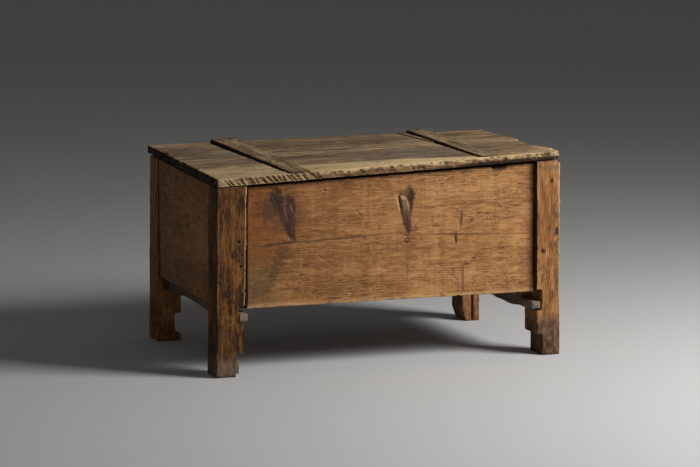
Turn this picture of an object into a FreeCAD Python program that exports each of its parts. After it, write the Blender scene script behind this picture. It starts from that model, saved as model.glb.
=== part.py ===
import FreeCAD, Part
import Sketcher
import os

# Overall sizes, in millimetres
CHEST_WIDE = 1100  # width over the posts at the floor
CHEST_DEEP = 720  # depth over the posts
TOP_FRONT_LEFT = 560  # underside of the lid at the front left corner
TOP_FRONT_RIGHT = 602  # underside of the lid at the front right corner
TOP_REAR_LEFT = 584  # underside of the lid at the rear left corner
TOP_REAR_RIGHT = 593  # underside of the lid at the rear right corner
FLOOR_HIGH = 206  # underside of the bottom boards
SNUG = 0.3  # gap round a piece held in a groove or a hole
REST_GAP = 0.4  # gap between a post's top and the closed lid
PAST = 1  # how far a cut runs past the face that it opens

# Posts
POST_DEEP = 94  # post from front to back
WIDE_FRONT_LEFT = 86  # front left post, side to side
WIDE_FRONT_RIGHT = 78  # front right post, side to side
WIDE_REAR_LEFT = 80  # rear left post, side to side
WIDE_REAR_RIGHT = 84  # rear right post, side to side
LEAN_LEFT = 8  # inward lean of the left posts at the top
LEAN_RIGHT = 5  # inward lean of the right posts at the top

# Feet
STEP_FRONT_LEFT = 68  # height of the front left foot's step
STEP_FRONT_RIGHT = 66  # height of the front right foot's step
STEP_REAR_LEFT = 86  # height of the rear left foot's step
STEP_REAR_RIGHT = 91  # height of the rear right foot's step
STEP_IN_FRONT_LEFT = 25  # depth of the front left foot's step
STEP_IN_FRONT_RIGHT = 20  # depth of the front right foot's step
STEP_IN_REAR_LEFT = 20  # depth of the rear left foot's step
STEP_IN_REAR_RIGHT = 22  # depth of the rear right foot's step
TOE_FRONT_LEFT = 32  # height of the front left foot's toe
TOE_REAR_LEFT = 23  # height of the rear left foot's toe
TOE_BACK = 2  # toe behind the post's inner edge
TOE_SPLIT = 50  # front of the front left toe, split away
WORN_HIGH = 39  # height where the rear right foot begins to be worn away
WORN_IN = 14  # rear right foot worn away at the floor

# Notches for the rails
NOTCH_DEEP = 15  # depth of a rail's notch in the post
NOTCH_OVER_LEFT = 2  # top of the left notches above the bottom boards' underside
NOTCH_UNDER_RIGHT = 3  # top of the right notches below the bottom boards' underside
NOTCH_TALL_LEFT = 53  # height of the left notches
NOTCH_TALL_RIGHT = 63  # height of the right notches

# Rails
TONGUE_TALL = 25  # height of a rail's squared end
TONGUE_RISE_LEFT = 8  # left rail's squared end above the notch's sill
TONGUE_RISE_RIGHT = 4  # right rail's squared end above the notch's sill
TONGUE_PAST = 15  # rail's end past the post's inner edge
TONGUE_BACK = 2  # rail's end behind the post's face
TONGUE_LONG = 30  # length of the squared end in front of its shoulder
RAIL_CLEAR = 4  # gap between a rail's body and posts or end board
BELLY_FRONT_LEFT = 43  # left rail's hewn underside below its top, front
BELLY_REAR_LEFT = 36  # left rail's hewn underside below its top, rear
BELLY_FRONT_RIGHT = 73  # right rail's hewn underside below its top, front
BELLY_REAR_RIGHT = 63  # right rail's hewn underside below its top, rear
BELLY_FRONT_AT = 190  # front of the belly ahead of the chest's middle
BELLY_REAR_AT = 60  # rear of the belly behind the chest's middle

# Boards of the sides
FRONT_SET = 20  # front board behind the posts' face
FRONT_THICK = 24  # front board's thickness
FRONT_GAP = 6.5  # gap between the front board and the lid
FRONT_OVER_LEFT = 10  # front board above the left rail's squared end
FRONT_DROP_RIGHT = 11  # front board below the bottom boards' underside, right
REBATE_DEEP = 10  # depth of the rebates at the front board's ends
SHOULDER_LEFT = 15  # front board's left shoulder from the post's inner edge
SHOULDER_RIGHT = 5  # front board's right shoulder from the post's inner edge
FRONT_TONGUE = 56  # front and back board let into the posts
BACK_SET = 26  # back board ahead of the posts' rear face
BACK_THICK = 24  # back board's thickness
BACK_GAP = 9  # gap between the back board and the lid
BACK_RISE = 3  # back board above the bottom boards' underside
END_SET = 10  # end board inside the posts' outer face
END_THICK = 22  # end board's thickness
END_GAP = 4  # gap between an end board and the lid
END_TONGUE = 40  # end board let into the posts
END_DROP = 1  # end board below the bottom boards' underside

# Bottom boards
BOTTOM_BOARDS = ("bottom_board_1", "bottom_board_2", "bottom_board_3", "bottom_board_4")
BOTTOM_THICK = 20  # bottom board's thickness
BOTTOM_GAP = 1.5  # gap between bottom boards and round the posts

# Lid
LID_THICK = 26  # lid board's thickness
LID_IN_LEFT = 6  # lid's left end inside the foot of the left posts
LID_OVER_FRONT = 3  # lid past the front posts
LID_OVER_REAR = 16  # lid past the rear posts
JOINT_AT = 12  # joint of the lid boards behind the chest's middle
JOINT_GAP = 0.5  # gap between the lid boards
REAR_END_LONG = 47  # rear lid board past the right posts at its rear edge
REAR_END_JOINT = 21  # rear lid board past the right posts at the joint
FRONT_END_JOINT = 12  # front lid board past the right posts at the joint
FRONT_END_DIP = -7  # front lid board past the right posts at its broken hollow
FRONT_END_BUMP = 3  # front lid board past the right posts at its middle
FRONT_END_CORNER = -9  # front lid board past the right posts at its front corner
DIP_AT = 125  # broken hollow ahead of the chest's middle
BUMP_AT = 205  # fullest part of the front board's end ahead of the chest's middle
BUMP_LONG = 80  # length of the fullest part of the front board's end

# Battens
BATTEN_INNER_LEFT_FRONT = 292  # left batten's inner edge in from the left posts, front
BATTEN_OUTER_LEFT_FRONT = 235  # left batten's outer edge in from the left posts, front
BATTEN_INNER_LEFT_REAR = 302  # left batten's inner edge in from the left posts, rear
BATTEN_OUTER_LEFT_REAR = 212  # left batten's outer edge in from the left posts, rear
BATTEN_INNER_RIGHT_FRONT = 262  # right batten's inner edge in from the right posts, front
BATTEN_OUTER_RIGHT_FRONT = 210  # right batten's outer edge in from the right posts, front
BATTEN_INNER_RIGHT_REAR = 220  # right batten's inner edge in from the right posts, rear
BATTEN_OUTER_RIGHT_REAR = 146  # right batten's outer edge in from the right posts, rear
BATTEN_SHORT_LEFT = 12  # left batten behind the lid's front edge
BATTEN_SHORT_RIGHT = 17  # right batten behind the lid's front edge
BATTEN_IN = 10  # depth of a batten in the lid
BATTEN_FLARE = 4  # undercut of a batten's dovetail
BATTEN_PROUD_FRONT = 1.5  # batten above the lid at the front
BATTEN_PROUD_REAR = 9  # batten above the lid at the rear
WEDGE_LONG = 290  # length of the wedge beside the right batten
WEDGE_THIN = 6  # wedge's width at its thin end
WEDGE_WIDE = 32  # wedge's width at the lid's rear edge
WEDGE_PROUD = 1.2  # wedge above the lid

# Hinges
WIRE_THICK = 5  # thickness of the hinge wire
STEM_THICK = 4.4  # thickness of a hinge's stem
STEM_PAST = 0.8  # stem past its clenched prongs
EYE_RING = 10  # middle radius of the eye on the back board
LOOP_RING = 7  # middle radius of the loop on the lid
HINGE_IN = 2  # hinge axis ahead of the posts' rear face
HINGE_DROP = 26  # hinge axis below the lid's rear left corner
HINGE_AT_LEFT = 279  # left hinge in from the left posts' outer face
HINGE_AT_RIGHT = 184  # right hinge in from the right posts' outer face
PRONG_THICK = 4  # thickness of a clenched prong
PRONG_LONG = 12  # length of a clenched prong

# Pegs and nails
PEG_THICK = 10  # peg's thickness
PEG_PROUD = 1  # peg's head above the post
PEG_PAST = 8  # peg past the board it holds
PEG_UPPER_LEFT_IN = 56  # front left post, upper peg from the outer face
PEG_UPPER_LEFT_HIGH = 153  # front left post, upper peg above the bottom boards
PEG_LOWER_LEFT_IN = 36  # front left post, lower peg from the outer face
PEG_LOWER_LEFT_HIGH = 40  # front left post, lower peg above the bottom boards
PEG_UPPER_RIGHT_IN = 32  # front right post, upper peg from the outer face
PEG_UPPER_RIGHT_DOWN = 66  # front right post, upper peg below the lid
PEG_LOWER_RIGHT_IN = 58  # front right post, lower peg from the outer face
PEG_LOWER_RIGHT_HIGH = 116  # front right post, lower peg above the bottom boards
PEG_BACK_IN = 52  # rear posts, pegs from the outer face
PEG_END_IN = 20  # pegs of the end boards from the post's inner face
PEG_LOW = 60  # lower pegs of the end and back boards above the bottom boards
PEG_HIGH = 250  # upper pegs of the end and back boards above the bottom boards
NAIL_THICK = 5  # bottom nail's thickness
NAIL_GRIP = 24  # bottom nail's length in the rail

doc = FreeCAD.newDocument("chest")
dim = doc.addObject("Spreadsheet::Sheet", "dim")
nodes = []

# Sheet of the driving sizes, one row each
driving = dict(
    chest_wide=CHEST_WIDE, chest_deep=CHEST_DEEP, top_front_left=TOP_FRONT_LEFT,
    top_front_right=TOP_FRONT_RIGHT, top_rear_left=TOP_REAR_LEFT, top_rear_right=TOP_REAR_RIGHT,
    floor_high=FLOOR_HIGH, snug=SNUG, rest_gap=REST_GAP, past=PAST, post_deep=POST_DEEP,
    wide_front_left=WIDE_FRONT_LEFT, wide_front_right=WIDE_FRONT_RIGHT, wide_rear_left=WIDE_REAR_LEFT,
    wide_rear_right=WIDE_REAR_RIGHT, lean_left=LEAN_LEFT, lean_right=LEAN_RIGHT,
    step_front_left=STEP_FRONT_LEFT, step_front_right=STEP_FRONT_RIGHT, step_rear_left=STEP_REAR_LEFT,
    step_rear_right=STEP_REAR_RIGHT, step_in_front_left=STEP_IN_FRONT_LEFT,
    step_in_front_right=STEP_IN_FRONT_RIGHT, step_in_rear_left=STEP_IN_REAR_LEFT,
    step_in_rear_right=STEP_IN_REAR_RIGHT, toe_front_left=TOE_FRONT_LEFT, toe_rear_left=TOE_REAR_LEFT,
    toe_back=TOE_BACK, toe_split=TOE_SPLIT, worn_high=WORN_HIGH, worn_in=WORN_IN, notch_deep=NOTCH_DEEP,
    notch_over_left=NOTCH_OVER_LEFT, notch_under_right=NOTCH_UNDER_RIGHT,
    notch_tall_left=NOTCH_TALL_LEFT, notch_tall_right=NOTCH_TALL_RIGHT, tongue_tall=TONGUE_TALL,
    tongue_rise_left=TONGUE_RISE_LEFT, tongue_rise_right=TONGUE_RISE_RIGHT, tongue_past=TONGUE_PAST,
    tongue_back=TONGUE_BACK, tongue_long=TONGUE_LONG, rail_clear=RAIL_CLEAR,
    belly_front_left=BELLY_FRONT_LEFT, belly_rear_left=BELLY_REAR_LEFT,
    belly_front_right=BELLY_FRONT_RIGHT, belly_rear_right=BELLY_REAR_RIGHT,
    belly_front_at=BELLY_FRONT_AT, belly_rear_at=BELLY_REAR_AT, front_set=FRONT_SET,
    front_thick=FRONT_THICK, front_gap=FRONT_GAP, front_over_left=FRONT_OVER_LEFT,
    front_drop_right=FRONT_DROP_RIGHT, rebate_deep=REBATE_DEEP, shoulder_left=SHOULDER_LEFT,
    shoulder_right=SHOULDER_RIGHT, front_tongue=FRONT_TONGUE, back_set=BACK_SET,
    back_thick=BACK_THICK, back_gap=BACK_GAP, back_rise=BACK_RISE, end_set=END_SET, end_thick=END_THICK,
    end_gap=END_GAP, end_tongue=END_TONGUE, end_drop=END_DROP, bottom_thick=BOTTOM_THICK,
    bottom_gap=BOTTOM_GAP, lid_thick=LID_THICK, lid_in_left=LID_IN_LEFT, lid_over_front=LID_OVER_FRONT,
    lid_over_rear=LID_OVER_REAR, joint_at=JOINT_AT, joint_gap=JOINT_GAP, rear_end_long=REAR_END_LONG,
    rear_end_joint=REAR_END_JOINT, front_end_joint=FRONT_END_JOINT, front_end_dip=FRONT_END_DIP,
    front_end_bump=FRONT_END_BUMP, front_end_corner=FRONT_END_CORNER, dip_at=DIP_AT, bump_at=BUMP_AT,
    bump_long=BUMP_LONG, batten_inner_left_front=BATTEN_INNER_LEFT_FRONT,
    batten_outer_left_front=BATTEN_OUTER_LEFT_FRONT, batten_inner_left_rear=BATTEN_INNER_LEFT_REAR,
    batten_outer_left_rear=BATTEN_OUTER_LEFT_REAR, batten_inner_right_front=BATTEN_INNER_RIGHT_FRONT,
    batten_outer_right_front=BATTEN_OUTER_RIGHT_FRONT, batten_inner_right_rear=BATTEN_INNER_RIGHT_REAR,
    batten_outer_right_rear=BATTEN_OUTER_RIGHT_REAR, batten_short_left=BATTEN_SHORT_LEFT,
    batten_short_right=BATTEN_SHORT_RIGHT, batten_in=BATTEN_IN, batten_flare=BATTEN_FLARE,
    batten_proud_front=BATTEN_PROUD_FRONT, batten_proud_rear=BATTEN_PROUD_REAR, wedge_long=WEDGE_LONG,
    wedge_thin=WEDGE_THIN, wedge_wide=WEDGE_WIDE, wedge_proud=WEDGE_PROUD, wire_thick=WIRE_THICK,
    stem_thick=STEM_THICK, stem_past=STEM_PAST, eye_ring=EYE_RING, loop_ring=LOOP_RING,
    hinge_in=HINGE_IN, hinge_drop=HINGE_DROP, hinge_at_left=HINGE_AT_LEFT,
    hinge_at_right=HINGE_AT_RIGHT, prong_thick=PRONG_THICK, prong_long=PRONG_LONG, peg_thick=PEG_THICK,
    peg_proud=PEG_PROUD, peg_past=PEG_PAST, peg_upper_left_in=PEG_UPPER_LEFT_IN,
    peg_upper_left_high=PEG_UPPER_LEFT_HIGH, peg_lower_left_in=PEG_LOWER_LEFT_IN,
    peg_lower_left_high=PEG_LOWER_LEFT_HIGH, peg_upper_right_in=PEG_UPPER_RIGHT_IN,
    peg_upper_right_down=PEG_UPPER_RIGHT_DOWN, peg_lower_right_in=PEG_LOWER_RIGHT_IN,
    peg_lower_right_high=PEG_LOWER_RIGHT_HIGH, peg_back_in=PEG_BACK_IN, peg_end_in=PEG_END_IN,
    peg_low=PEG_LOW, peg_high=PEG_HIGH, nail_thick=NAIL_THICK, nail_grip=NAIL_GRIP,
)
for row, (alias, size) in enumerate(driving.items(), start=1):
    dim.set(f"A{row}", alias.replace("_", " "))
    dim.set(f"B{row}", str(size))
    dim.setAlias(f"B{row}", alias)
doc.recompute()

# Places that several pieces share, as expressions in the sheet's names
HALF_WIDE = "dim.chest_wide / 2"
HALF_DEEP = "dim.chest_deep / 2"
SHIFT_X = "-dim.rear_end_long / 2"
SHIFT_Y = "-(dim.lid_over_rear - dim.lid_over_front) / 2"
RAIL_TOP = "(dim.floor_high - dim.snug)"
FRONT_FACE = f"(-{HALF_DEEP} + dim.front_set)"
FRONT_INNER = f"({FRONT_FACE} + dim.front_thick)"
FRONT_REBATE = f"({FRONT_FACE} + dim.rebate_deep)"
BACK_FACE = f"({HALF_DEEP} - dim.back_set)"
BACK_INNER = f"({BACK_FACE} - dim.back_thick)"
END_INNER = f"({HALF_WIDE} - dim.end_set - dim.end_thick)"
LID_LEFT = f"(-{HALF_WIDE} + dim.lid_in_left)"
LID_RIGHT = f"({HALF_WIDE} + dim.rear_end_long)"
LID_FRONT = f"(-{HALF_DEEP} - dim.lid_over_front)"
LID_REAR = f"({HALF_DEEP} + dim.lid_over_rear)"
FRONT_CEILING = "max(dim.top_front_left; dim.top_front_right)"
REAR_CEILING = "max(dim.top_rear_left; dim.top_rear_right)"
LID_CEILING = f"(max({FRONT_CEILING}; {REAR_CEILING}) + dim.lid_thick)"
HINGE_Y = f"({HALF_DEEP} - dim.hinge_in)"
HINGE_Z = "(dim.top_rear_left - dim.hinge_drop)"
LEFT, RIGHT, FRONT, REAR = -1, 1, -1, 1
SIDE_NAME = {LEFT: "left", RIGHT: "right"}
END_NAME = {FRONT: "front", REAR: "rear"}
NOTCH_TOP = {LEFT: "(dim.floor_high + dim.notch_over_left)",
             RIGHT: "(dim.floor_high - dim.notch_under_right)"}
NOTCH_LOW = {side: f"({NOTCH_TOP[side]} - dim.notch_tall_{SIDE_NAME[side]})" for side in (LEFT, RIGHT)}
TONGUE_LOW = {side: f"({NOTCH_LOW[side]} + dim.tongue_rise_{SIDE_NAME[side]})" for side in (LEFT, RIGHT)}
FRONT_LOW = {LEFT: f"({TONGUE_LOW[LEFT]} + dim.tongue_tall + dim.front_over_left)",
             RIGHT: "(dim.floor_high - dim.front_drop_right)"}
BACK_LOW = {side: "(dim.floor_high + dim.back_rise)" for side in (LEFT, RIGHT)}
END_LOW = "(dim.floor_high - dim.end_drop)"


def value(expression):
    """The number an expression gives at the sheet's present sizes."""
    return float(dim.evalExpression(expression))


def lid_under(x, y):
    """Height of the lid's wound underside over a point of the plan."""
    along = f"((({x}) + {HALF_WIDE}) / dim.chest_wide)"
    front = f"(dim.top_front_left + (dim.top_front_right - dim.top_front_left) * {along})"
    rear = f"(dim.top_rear_left + (dim.top_rear_right - dim.top_rear_left) * {along})"
    behind = f"(({HALF_DEEP} + ({y})) / dim.chest_deep)"
    return f"({front} + ({rear} - {front}) * {behind})"


def lid_top(x, y):
    """Height of the lid's upper face over a point of the plan."""
    return f"({lid_under(x, y)} + dim.lid_thick)"


def seat(thing):
    """Sets a piece in the chest's frame, whose origin lies under the middle of the whole."""
    thing.setExpression(".Placement.Base.x", SHIFT_X)
    thing.setExpression(".Placement.Base.y", SHIFT_Y)
    nodes.append(thing)
    return thing


def new_body(label):
    """An empty body for one piece."""
    return seat(doc.addObject("PartDesign::Body", label))


def outline(body, role, offset, corners):
    """A closed sketch whose corners are tied to the sheet one by one."""
    sketch = body.newObject("Sketcher::SketchObject", "outline")
    plane = next(item for item in body.Origin.OriginFeatures if item.Role == role)
    sketch.AttachmentSupport = [(plane, "")]
    sketch.MapMode = "FlatFace"
    sketch.setExpression(".AttachmentOffset.Base.z", offset)
    spots = [FreeCAD.Vector(value(across), value(up), 0) for across, up in corners]
    count = len(spots)
    for i in range(count):
        sketch.addGeometry(Part.LineSegment(spots[i], spots[(i + 1) % count]), False)
    for i in range(count):
        sketch.addConstraint(Sketcher.Constraint("Coincident", i, 2, (i + 1) % count, 1))
    for i, (across, up) in enumerate(corners):
        first = sketch.addConstraint(Sketcher.Constraint("DistanceX", -1, 1, i, 1, spots[i].x))
        sketch.renameConstraint(first, f"across{i}")
        sketch.setExpression(f"Constraints.across{i}", across)
        second = sketch.addConstraint(Sketcher.Constraint("DistanceY", -1, 1, i, 1, spots[i].y))
        sketch.renameConstraint(second, f"up{i}")
        sketch.setExpression(f"Constraints.up{i}", up)
    return sketch


def pad(body, role, offset, corners, length):
    """A slab from a closed sketch; XZ sketches grow towards the front."""
    made = body.newObject("PartDesign::Pad", "slab")
    made.Profile = outline(body, role, offset, corners)
    made.setExpression("Length", length)
    return made


def loft(body, kind, role, ends):
    """A ruled form between two sketches, each given as its offset and corners."""
    first, last = [outline(body, role, offset, corners) for offset, corners in ends]
    made = body.newObject(f"PartDesign::{kind}Loft", "ruled")
    made.Profile = first
    made.Sections = [last]
    made.Ruled = True
    return made


def saw_plan(body, corners):
    """Cuts a piece upright along an outline drawn on the plan."""
    made = body.newObject("PartDesign::Pocket", "sawn")
    made.Profile = outline(body, "XY_Plane", "0", corners)
    made.Type = "ThroughAll"
    made.Reversed = True
    return made


def span(thing, low, high):
    """Stretches a straight-sided form between two opposite corners."""
    for axis, start, stop, extent in zip("xyz", low, high, ("Length", "Width", "Height")):
        thing.setExpression(f".Placement.Base.{axis}", start)
        thing.setExpression(extent, f"({stop}) - ({start})")
    return thing


def slot(body, low, high):
    """A straight-sided cut between two opposite corners."""
    return span(body.newObject("PartDesign::SubtractiveBox", "slot"), low, high)


def bar_corners(axis, start, thick, length):
    """Opposite corners of a square bar along an axis from the middle of its lower end."""
    low = [f"({place}) - ({thick}) / 2" for place in start]
    high = [f"({place}) + ({thick}) / 2" for place in start]
    index = "xyz".index(axis)
    low[index] = start[index]
    high[index] = f"({start[index]}) + ({length})"
    return low, high


def bore(body, axis, start, thick, length):
    """A square hole with the snug gap round the peg, nail or stem in it."""
    return slot(body, *bar_corners(axis, start, f"{thick} + 2 * dim.snug", length))


def bar(axis, start, thick, length):
    """A square bar that becomes part of a peg group or a hinge."""
    return span(doc.addObject("Part::Box", "bar"), *bar_corners(axis, start, thick, length))


def ring(axis, centre, radius):
    """A forged ring of hinge wire round an axis."""
    turns = {"x": FreeCAD.Rotation(FreeCAD.Vector(0, 1, 0), 90), "z": FreeCAD.Rotation()}
    rounds = []
    for out in (1, -1):
        disc = doc.addObject("Part::Cylinder", "disc")
        disc.Placement.Rotation = turns[axis]
        for name, place in zip("xyz", centre):
            below = " - dim.wire_thick / 2" if name == axis else ""
            disc.setExpression(f".Placement.Base.{name}", place + below)
        disc.setExpression("Radius", f"{radius} + {out} * dim.wire_thick / 2")
        disc.setExpression("Height", "dim.wire_thick")
        rounds.append(disc)
    made = doc.addObject("Part::Cut", "ring")
    made.Base, made.Tool = rounds
    return made


def group(label, pieces):
    """Separate like pieces kept as one node."""
    made = seat(doc.addObject("Part::Compound", label))
    made.Links = pieces
    return made


def joined(label, pieces):
    """One forged piece from several bars and rings."""
    made = seat(doc.addObject("Part::MultiFuse", label))
    made.Shapes = pieces
    return made


def inward(side, distance):
    """X at a distance in from the outer face of a side's posts."""
    return f"{side} * ({HALF_WIDE} - ({distance}))"


def sorted_span(first, last):
    """Two expressions with the lower one first."""
    return (first, last) if value(first) < value(last) else (last, first)


def post_wide(side, end):
    """Width of one post."""
    return f"dim.wide_{END_NAME[end]}_{SIDE_NAME[side]}"


def post_top(side, end, distance):
    """Height of a post's top under the lid, at a distance in from the post's outer face."""
    across = inward(side, distance)
    near = f"{end} * {HALF_DEEP}"
    far = f"{end} * ({HALF_DEEP} - dim.post_deep)"
    return f"(min({lid_under(across, near)}; {lid_under(across, far)}) - dim.rest_gap)"


# Pegs of the front posts, as distances in from the outer face and heights
FRONT_PEGS = {
    LEFT: [("dim.peg_upper_left_in", "(dim.floor_high + dim.peg_upper_left_high)"),
           ("dim.peg_lower_left_in", "(dim.floor_high + dim.peg_lower_left_high)")],
    RIGHT: [("dim.peg_upper_right_in", "(dim.top_front_right - dim.peg_upper_right_down)"),
            ("dim.peg_lower_right_in", "(dim.floor_high + dim.peg_lower_right_high)")],
}
PEG_HEIGHTS = ["(dim.floor_high + dim.peg_low)", "(dim.floor_high + dim.peg_high)"]
FRONT_PEG_LONG = "(dim.front_set + dim.front_thick + dim.peg_past + dim.peg_proud)"
BACK_PEG_LONG = "(dim.back_set + dim.back_thick + dim.peg_past + dim.peg_proud)"


def face_pegs(side, end):
    """Lower ends and length of the pegs that hold the front or back board in one post."""
    if end == FRONT:
        start = f"(-{HALF_DEEP} - dim.peg_proud)"
        return [((inward(side, far), start, high), FRONT_PEG_LONG) for far, high in FRONT_PEGS[side]]
    start = f"({HALF_DEEP} + dim.peg_proud - {BACK_PEG_LONG})"
    return [((inward(side, "dim.peg_back_in"), start, high), BACK_PEG_LONG) for high in PEG_HEIGHTS]


def end_pegs(side, end):
    """Lower ends and length of the pegs that hold an end board in one post."""
    across = f"{end} * ({HALF_DEEP} - dim.post_deep + dim.peg_end_in)"
    lean = f"dim.lean_{SIDE_NAME[side]}"
    found = []
    for high in PEG_HEIGHTS:
        face = f"({HALF_WIDE} - {lean} * {high} / {post_top(side, end, lean)} + dim.peg_proud)"
        length = f"({face} - {END_INNER} + dim.peg_past)"
        start = f"-{face}" if side == LEFT else f"({face} - {length})"
        found.append(((start, across, high), length))
    return found


def toe_foot(wide, name):
    """Inner edge of a foot with a step, a notch and a toe left below it."""
    inner = f"({wide} - dim.step_in_{name})"
    tip = f"({wide} - dim.toe_back)"
    return [(wide, f"dim.step_{name}"), (inner, f"dim.step_{name}"), (inner, f"dim.toe_{name}"),
            (tip, f"dim.toe_{name}"), (tip, "0")]


def plain_foot(wide, name):
    """Inner edge of a foot with a step cut down to the floor."""
    inner = f"({wide} - dim.step_in_{name})"
    return [(wide, f"dim.step_{name}"), (inner, f"dim.step_{name}"), (inner, "0")]


def worn_foot(wide, name):
    """Inner edge of a foot with a step, worn away towards the floor."""
    inner = f"({wide} - dim.step_in_{name})"
    return [(wide, f"dim.step_{name}"), (inner, f"dim.step_{name}"), (inner, "dim.worn_high"),
            (f"({inner} - dim.worn_in)", "0")]


def make_post(side, end, foot):
    """A post with its carved foot, rail notch, board grooves and peg holes."""
    name = f"{END_NAME[end]}_{SIDE_NAME[side]}"
    body = new_body(f"post_{name}")
    wide = post_wide(side, end)
    lean = f"dim.lean_{SIDE_NAME[side]}"
    near = f"{end} * {HALF_DEEP}"
    far = f"{end} * ({HALF_DEEP} - dim.post_deep)"
    inner_top = f"({wide} + {lean})"
    notch_in = f"({wide} - dim.notch_deep)"
    profile = [("0", "0"), (lean, post_top(side, end, lean)), (inner_top, post_top(side, end, inner_top))]
    profile += [(wide, NOTCH_TOP[side]), (notch_in, NOTCH_TOP[side]), (notch_in, NOTCH_LOW[side])]
    profile += [(wide, NOTCH_LOW[side])] + foot(wide, name)
    high_y = sorted_span(near, far)[1]
    corners = [(inward(side, far_in), up) for far_in, up in profile]
    pad(body, "XZ_Plane", f"-({high_y})", corners, "dim.post_deep")

    # Groove of the front or back board, open at the top
    face, inner = (FRONT_REBATE, FRONT_INNER) if end == FRONT else (BACK_INNER, BACK_FACE)
    low = (FRONT_LOW if end == FRONT else BACK_LOW)[side]
    left_x, right_x = sorted_span(inward(side, f"{wide} - dim.front_tongue - dim.snug"),
                                  inward(side, f"{inner_top} + dim.past"))
    slot(body, (left_x, f"{face} - dim.snug", f"{low} - dim.snug"),
         (right_x, f"{inner} + dim.snug", LID_CEILING))

    # Groove of the end board, open at the top
    left_x, right_x = sorted_span(inward(side, "dim.end_set - dim.snug"),
                                  inward(side, "dim.end_set + dim.end_thick + dim.snug"))
    low_y, high_y = sorted_span(f"{end} * ({HALF_DEEP} - dim.post_deep + dim.end_tongue + dim.snug)",
                                f"{end} * ({HALF_DEEP} - dim.post_deep - dim.past)")
    slot(body, (left_x, low_y, f"{END_LOW} - dim.snug"), (right_x, high_y, LID_CEILING))

    # Peg holes
    for start, length in face_pegs(side, end):
        bore(body, "y", start, "dim.peg_thick", f"{length} + dim.snug")
    for start, length in end_pegs(side, end):
        bore(body, "x", start, "dim.peg_thick", f"{length} + dim.snug")
    return body


corner_post = make_post(LEFT, FRONT, toe_foot)
make_post(RIGHT, FRONT, plain_foot)
make_post(LEFT, REAR, toe_foot)
make_post(RIGHT, REAR, worn_foot)

# Front of the front left toe, split away
slot(corner_post,
     (inward(LEFT, "dim.wide_front_left - dim.step_in_front_left"), f"-{HALF_DEEP} - dim.past", "-dim.past"),
     (inward(LEFT, "dim.wide_front_left + dim.past"), f"-{HALF_DEEP} + dim.toe_split",
      "(dim.toe_front_left + dim.step_front_left) / 2"))


# Front and back boards
def make_face_board(label, end, inner, outer, gap, lows, thick):
    """A wide board let into the posts at both ends, with its peg holes."""
    body = new_body(label)
    lefts = inward(LEFT, f"{post_wide(LEFT, end)} - dim.front_tongue")
    rights = inward(RIGHT, f"{post_wide(RIGHT, end)} - dim.front_tongue")
    high_y = inner if end == FRONT else outer
    tops = [f"min({lid_under(x, inner)}; {lid_under(x, outer)}) - {gap}" for x in (lefts, rights)]
    corners = [(lefts, lows[LEFT]), (rights, lows[RIGHT]), (rights, tops[1]), (lefts, tops[0])]
    pad(body, "XZ_Plane", f"-({high_y})", corners, thick)
    for side in (LEFT, RIGHT):
        for start, length in face_pegs(side, end):
            bore(body, "y", start, "dim.peg_thick", length)
    return body


front = make_face_board("panel_front", FRONT, FRONT_INNER, FRONT_FACE, "dim.front_gap", FRONT_LOW,
                        "dim.front_thick")
back = make_face_board("panel_back", REAR, BACK_INNER, BACK_FACE, "dim.back_gap", BACK_LOW, "dim.back_thick")


# Rebates at the front board's ends, with shoulders that lean with the posts
def rebate(board, side):
    """Thins one end of the front board to the tongue that its post takes."""
    wide = post_wide(side, FRONT)
    lean = f"dim.lean_{SIDE_NAME[side]}"
    back = f"dim.shoulder_{SIDE_NAME[side]}"
    shoulder = f"({wide} + {lean} + {back})"
    high = post_top(side, FRONT, shoulder)
    corners = [(inward(side, "0"), "0"), (inward(side, f"{wide} + {back}"), "0"), (inward(side, shoulder), high),
               (inward(side, "0"), high)]
    made = board.newObject("PartDesign::Pocket", "rebate")
    made.Profile = outline(board, "XZ_Plane", f"-({FRONT_FACE})", corners)
    made.setExpression("Length", "dim.rebate_deep")


rebate(front, LEFT)
rebate(front, RIGHT)


# End boards
def make_end_board(side):
    """A board let into the front and rear posts of one side."""
    body = new_body(f"panel_{SIDE_NAME[side]}")
    reach = f"({HALF_DEEP} - dim.post_deep + dim.end_tongue)"
    outer = inward(side, "dim.end_set")
    inner = f"{side} * {END_INNER}"
    tops = [f"min({lid_under(outer, y)}; {lid_under(inner, y)}) - dim.end_gap" for y in (f"-{reach}", reach)]
    corners = [(f"-{reach}", END_LOW), (reach, END_LOW), (reach, tops[1]), (f"-{reach}", tops[0])]
    pad(body, "YZ_Plane", sorted_span(outer, inner)[0], corners, "dim.end_thick")
    for end in (FRONT, REAR):
        for start, length in end_pegs(side, end):
            bore(body, "x", start, "dim.peg_thick", length)


make_end_board(LEFT)
make_end_board(RIGHT)

# Places of the bottom boards and their nails
BOARDS = len(BOTTOM_BOARDS)
BOTTOM_START = f"({FRONT_INNER} + dim.snug)"
BOTTOM_SPAN = f"({BACK_INNER} - dim.snug - {BOTTOM_START})"
BOTTOM_WIDE = f"(({BOTTOM_SPAN} - {BOARDS - 1} * dim.bottom_gap) / {BOARDS})"
NAIL_START = "(dim.floor_high - dim.nail_grip)"
NAIL_LONG = "(dim.nail_grip + dim.bottom_thick)"


def bottom_low(index):
    """Front edge of one bottom board."""
    return f"({BOTTOM_START} + {index} * ({BOTTOM_WIDE} + dim.bottom_gap))"


def rail_inner(side):
    """Inner face of a rail."""
    return inward(side, f"{post_wide(side, FRONT)} + dim.tongue_past")


def rail_outer(side):
    """Outer face of a rail's body."""
    return f"{side} * ({END_INNER} - dim.rail_clear)"


def nail_spots(side):
    """Plan places of the nails in one rail, one for each bottom board."""
    across = f"({rail_inner(side)} + {rail_outer(side)}) / 2"
    return [(across, f"{bottom_low(i)} + {BOTTOM_WIDE} / 2") for i in range(BOARDS)]


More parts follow.
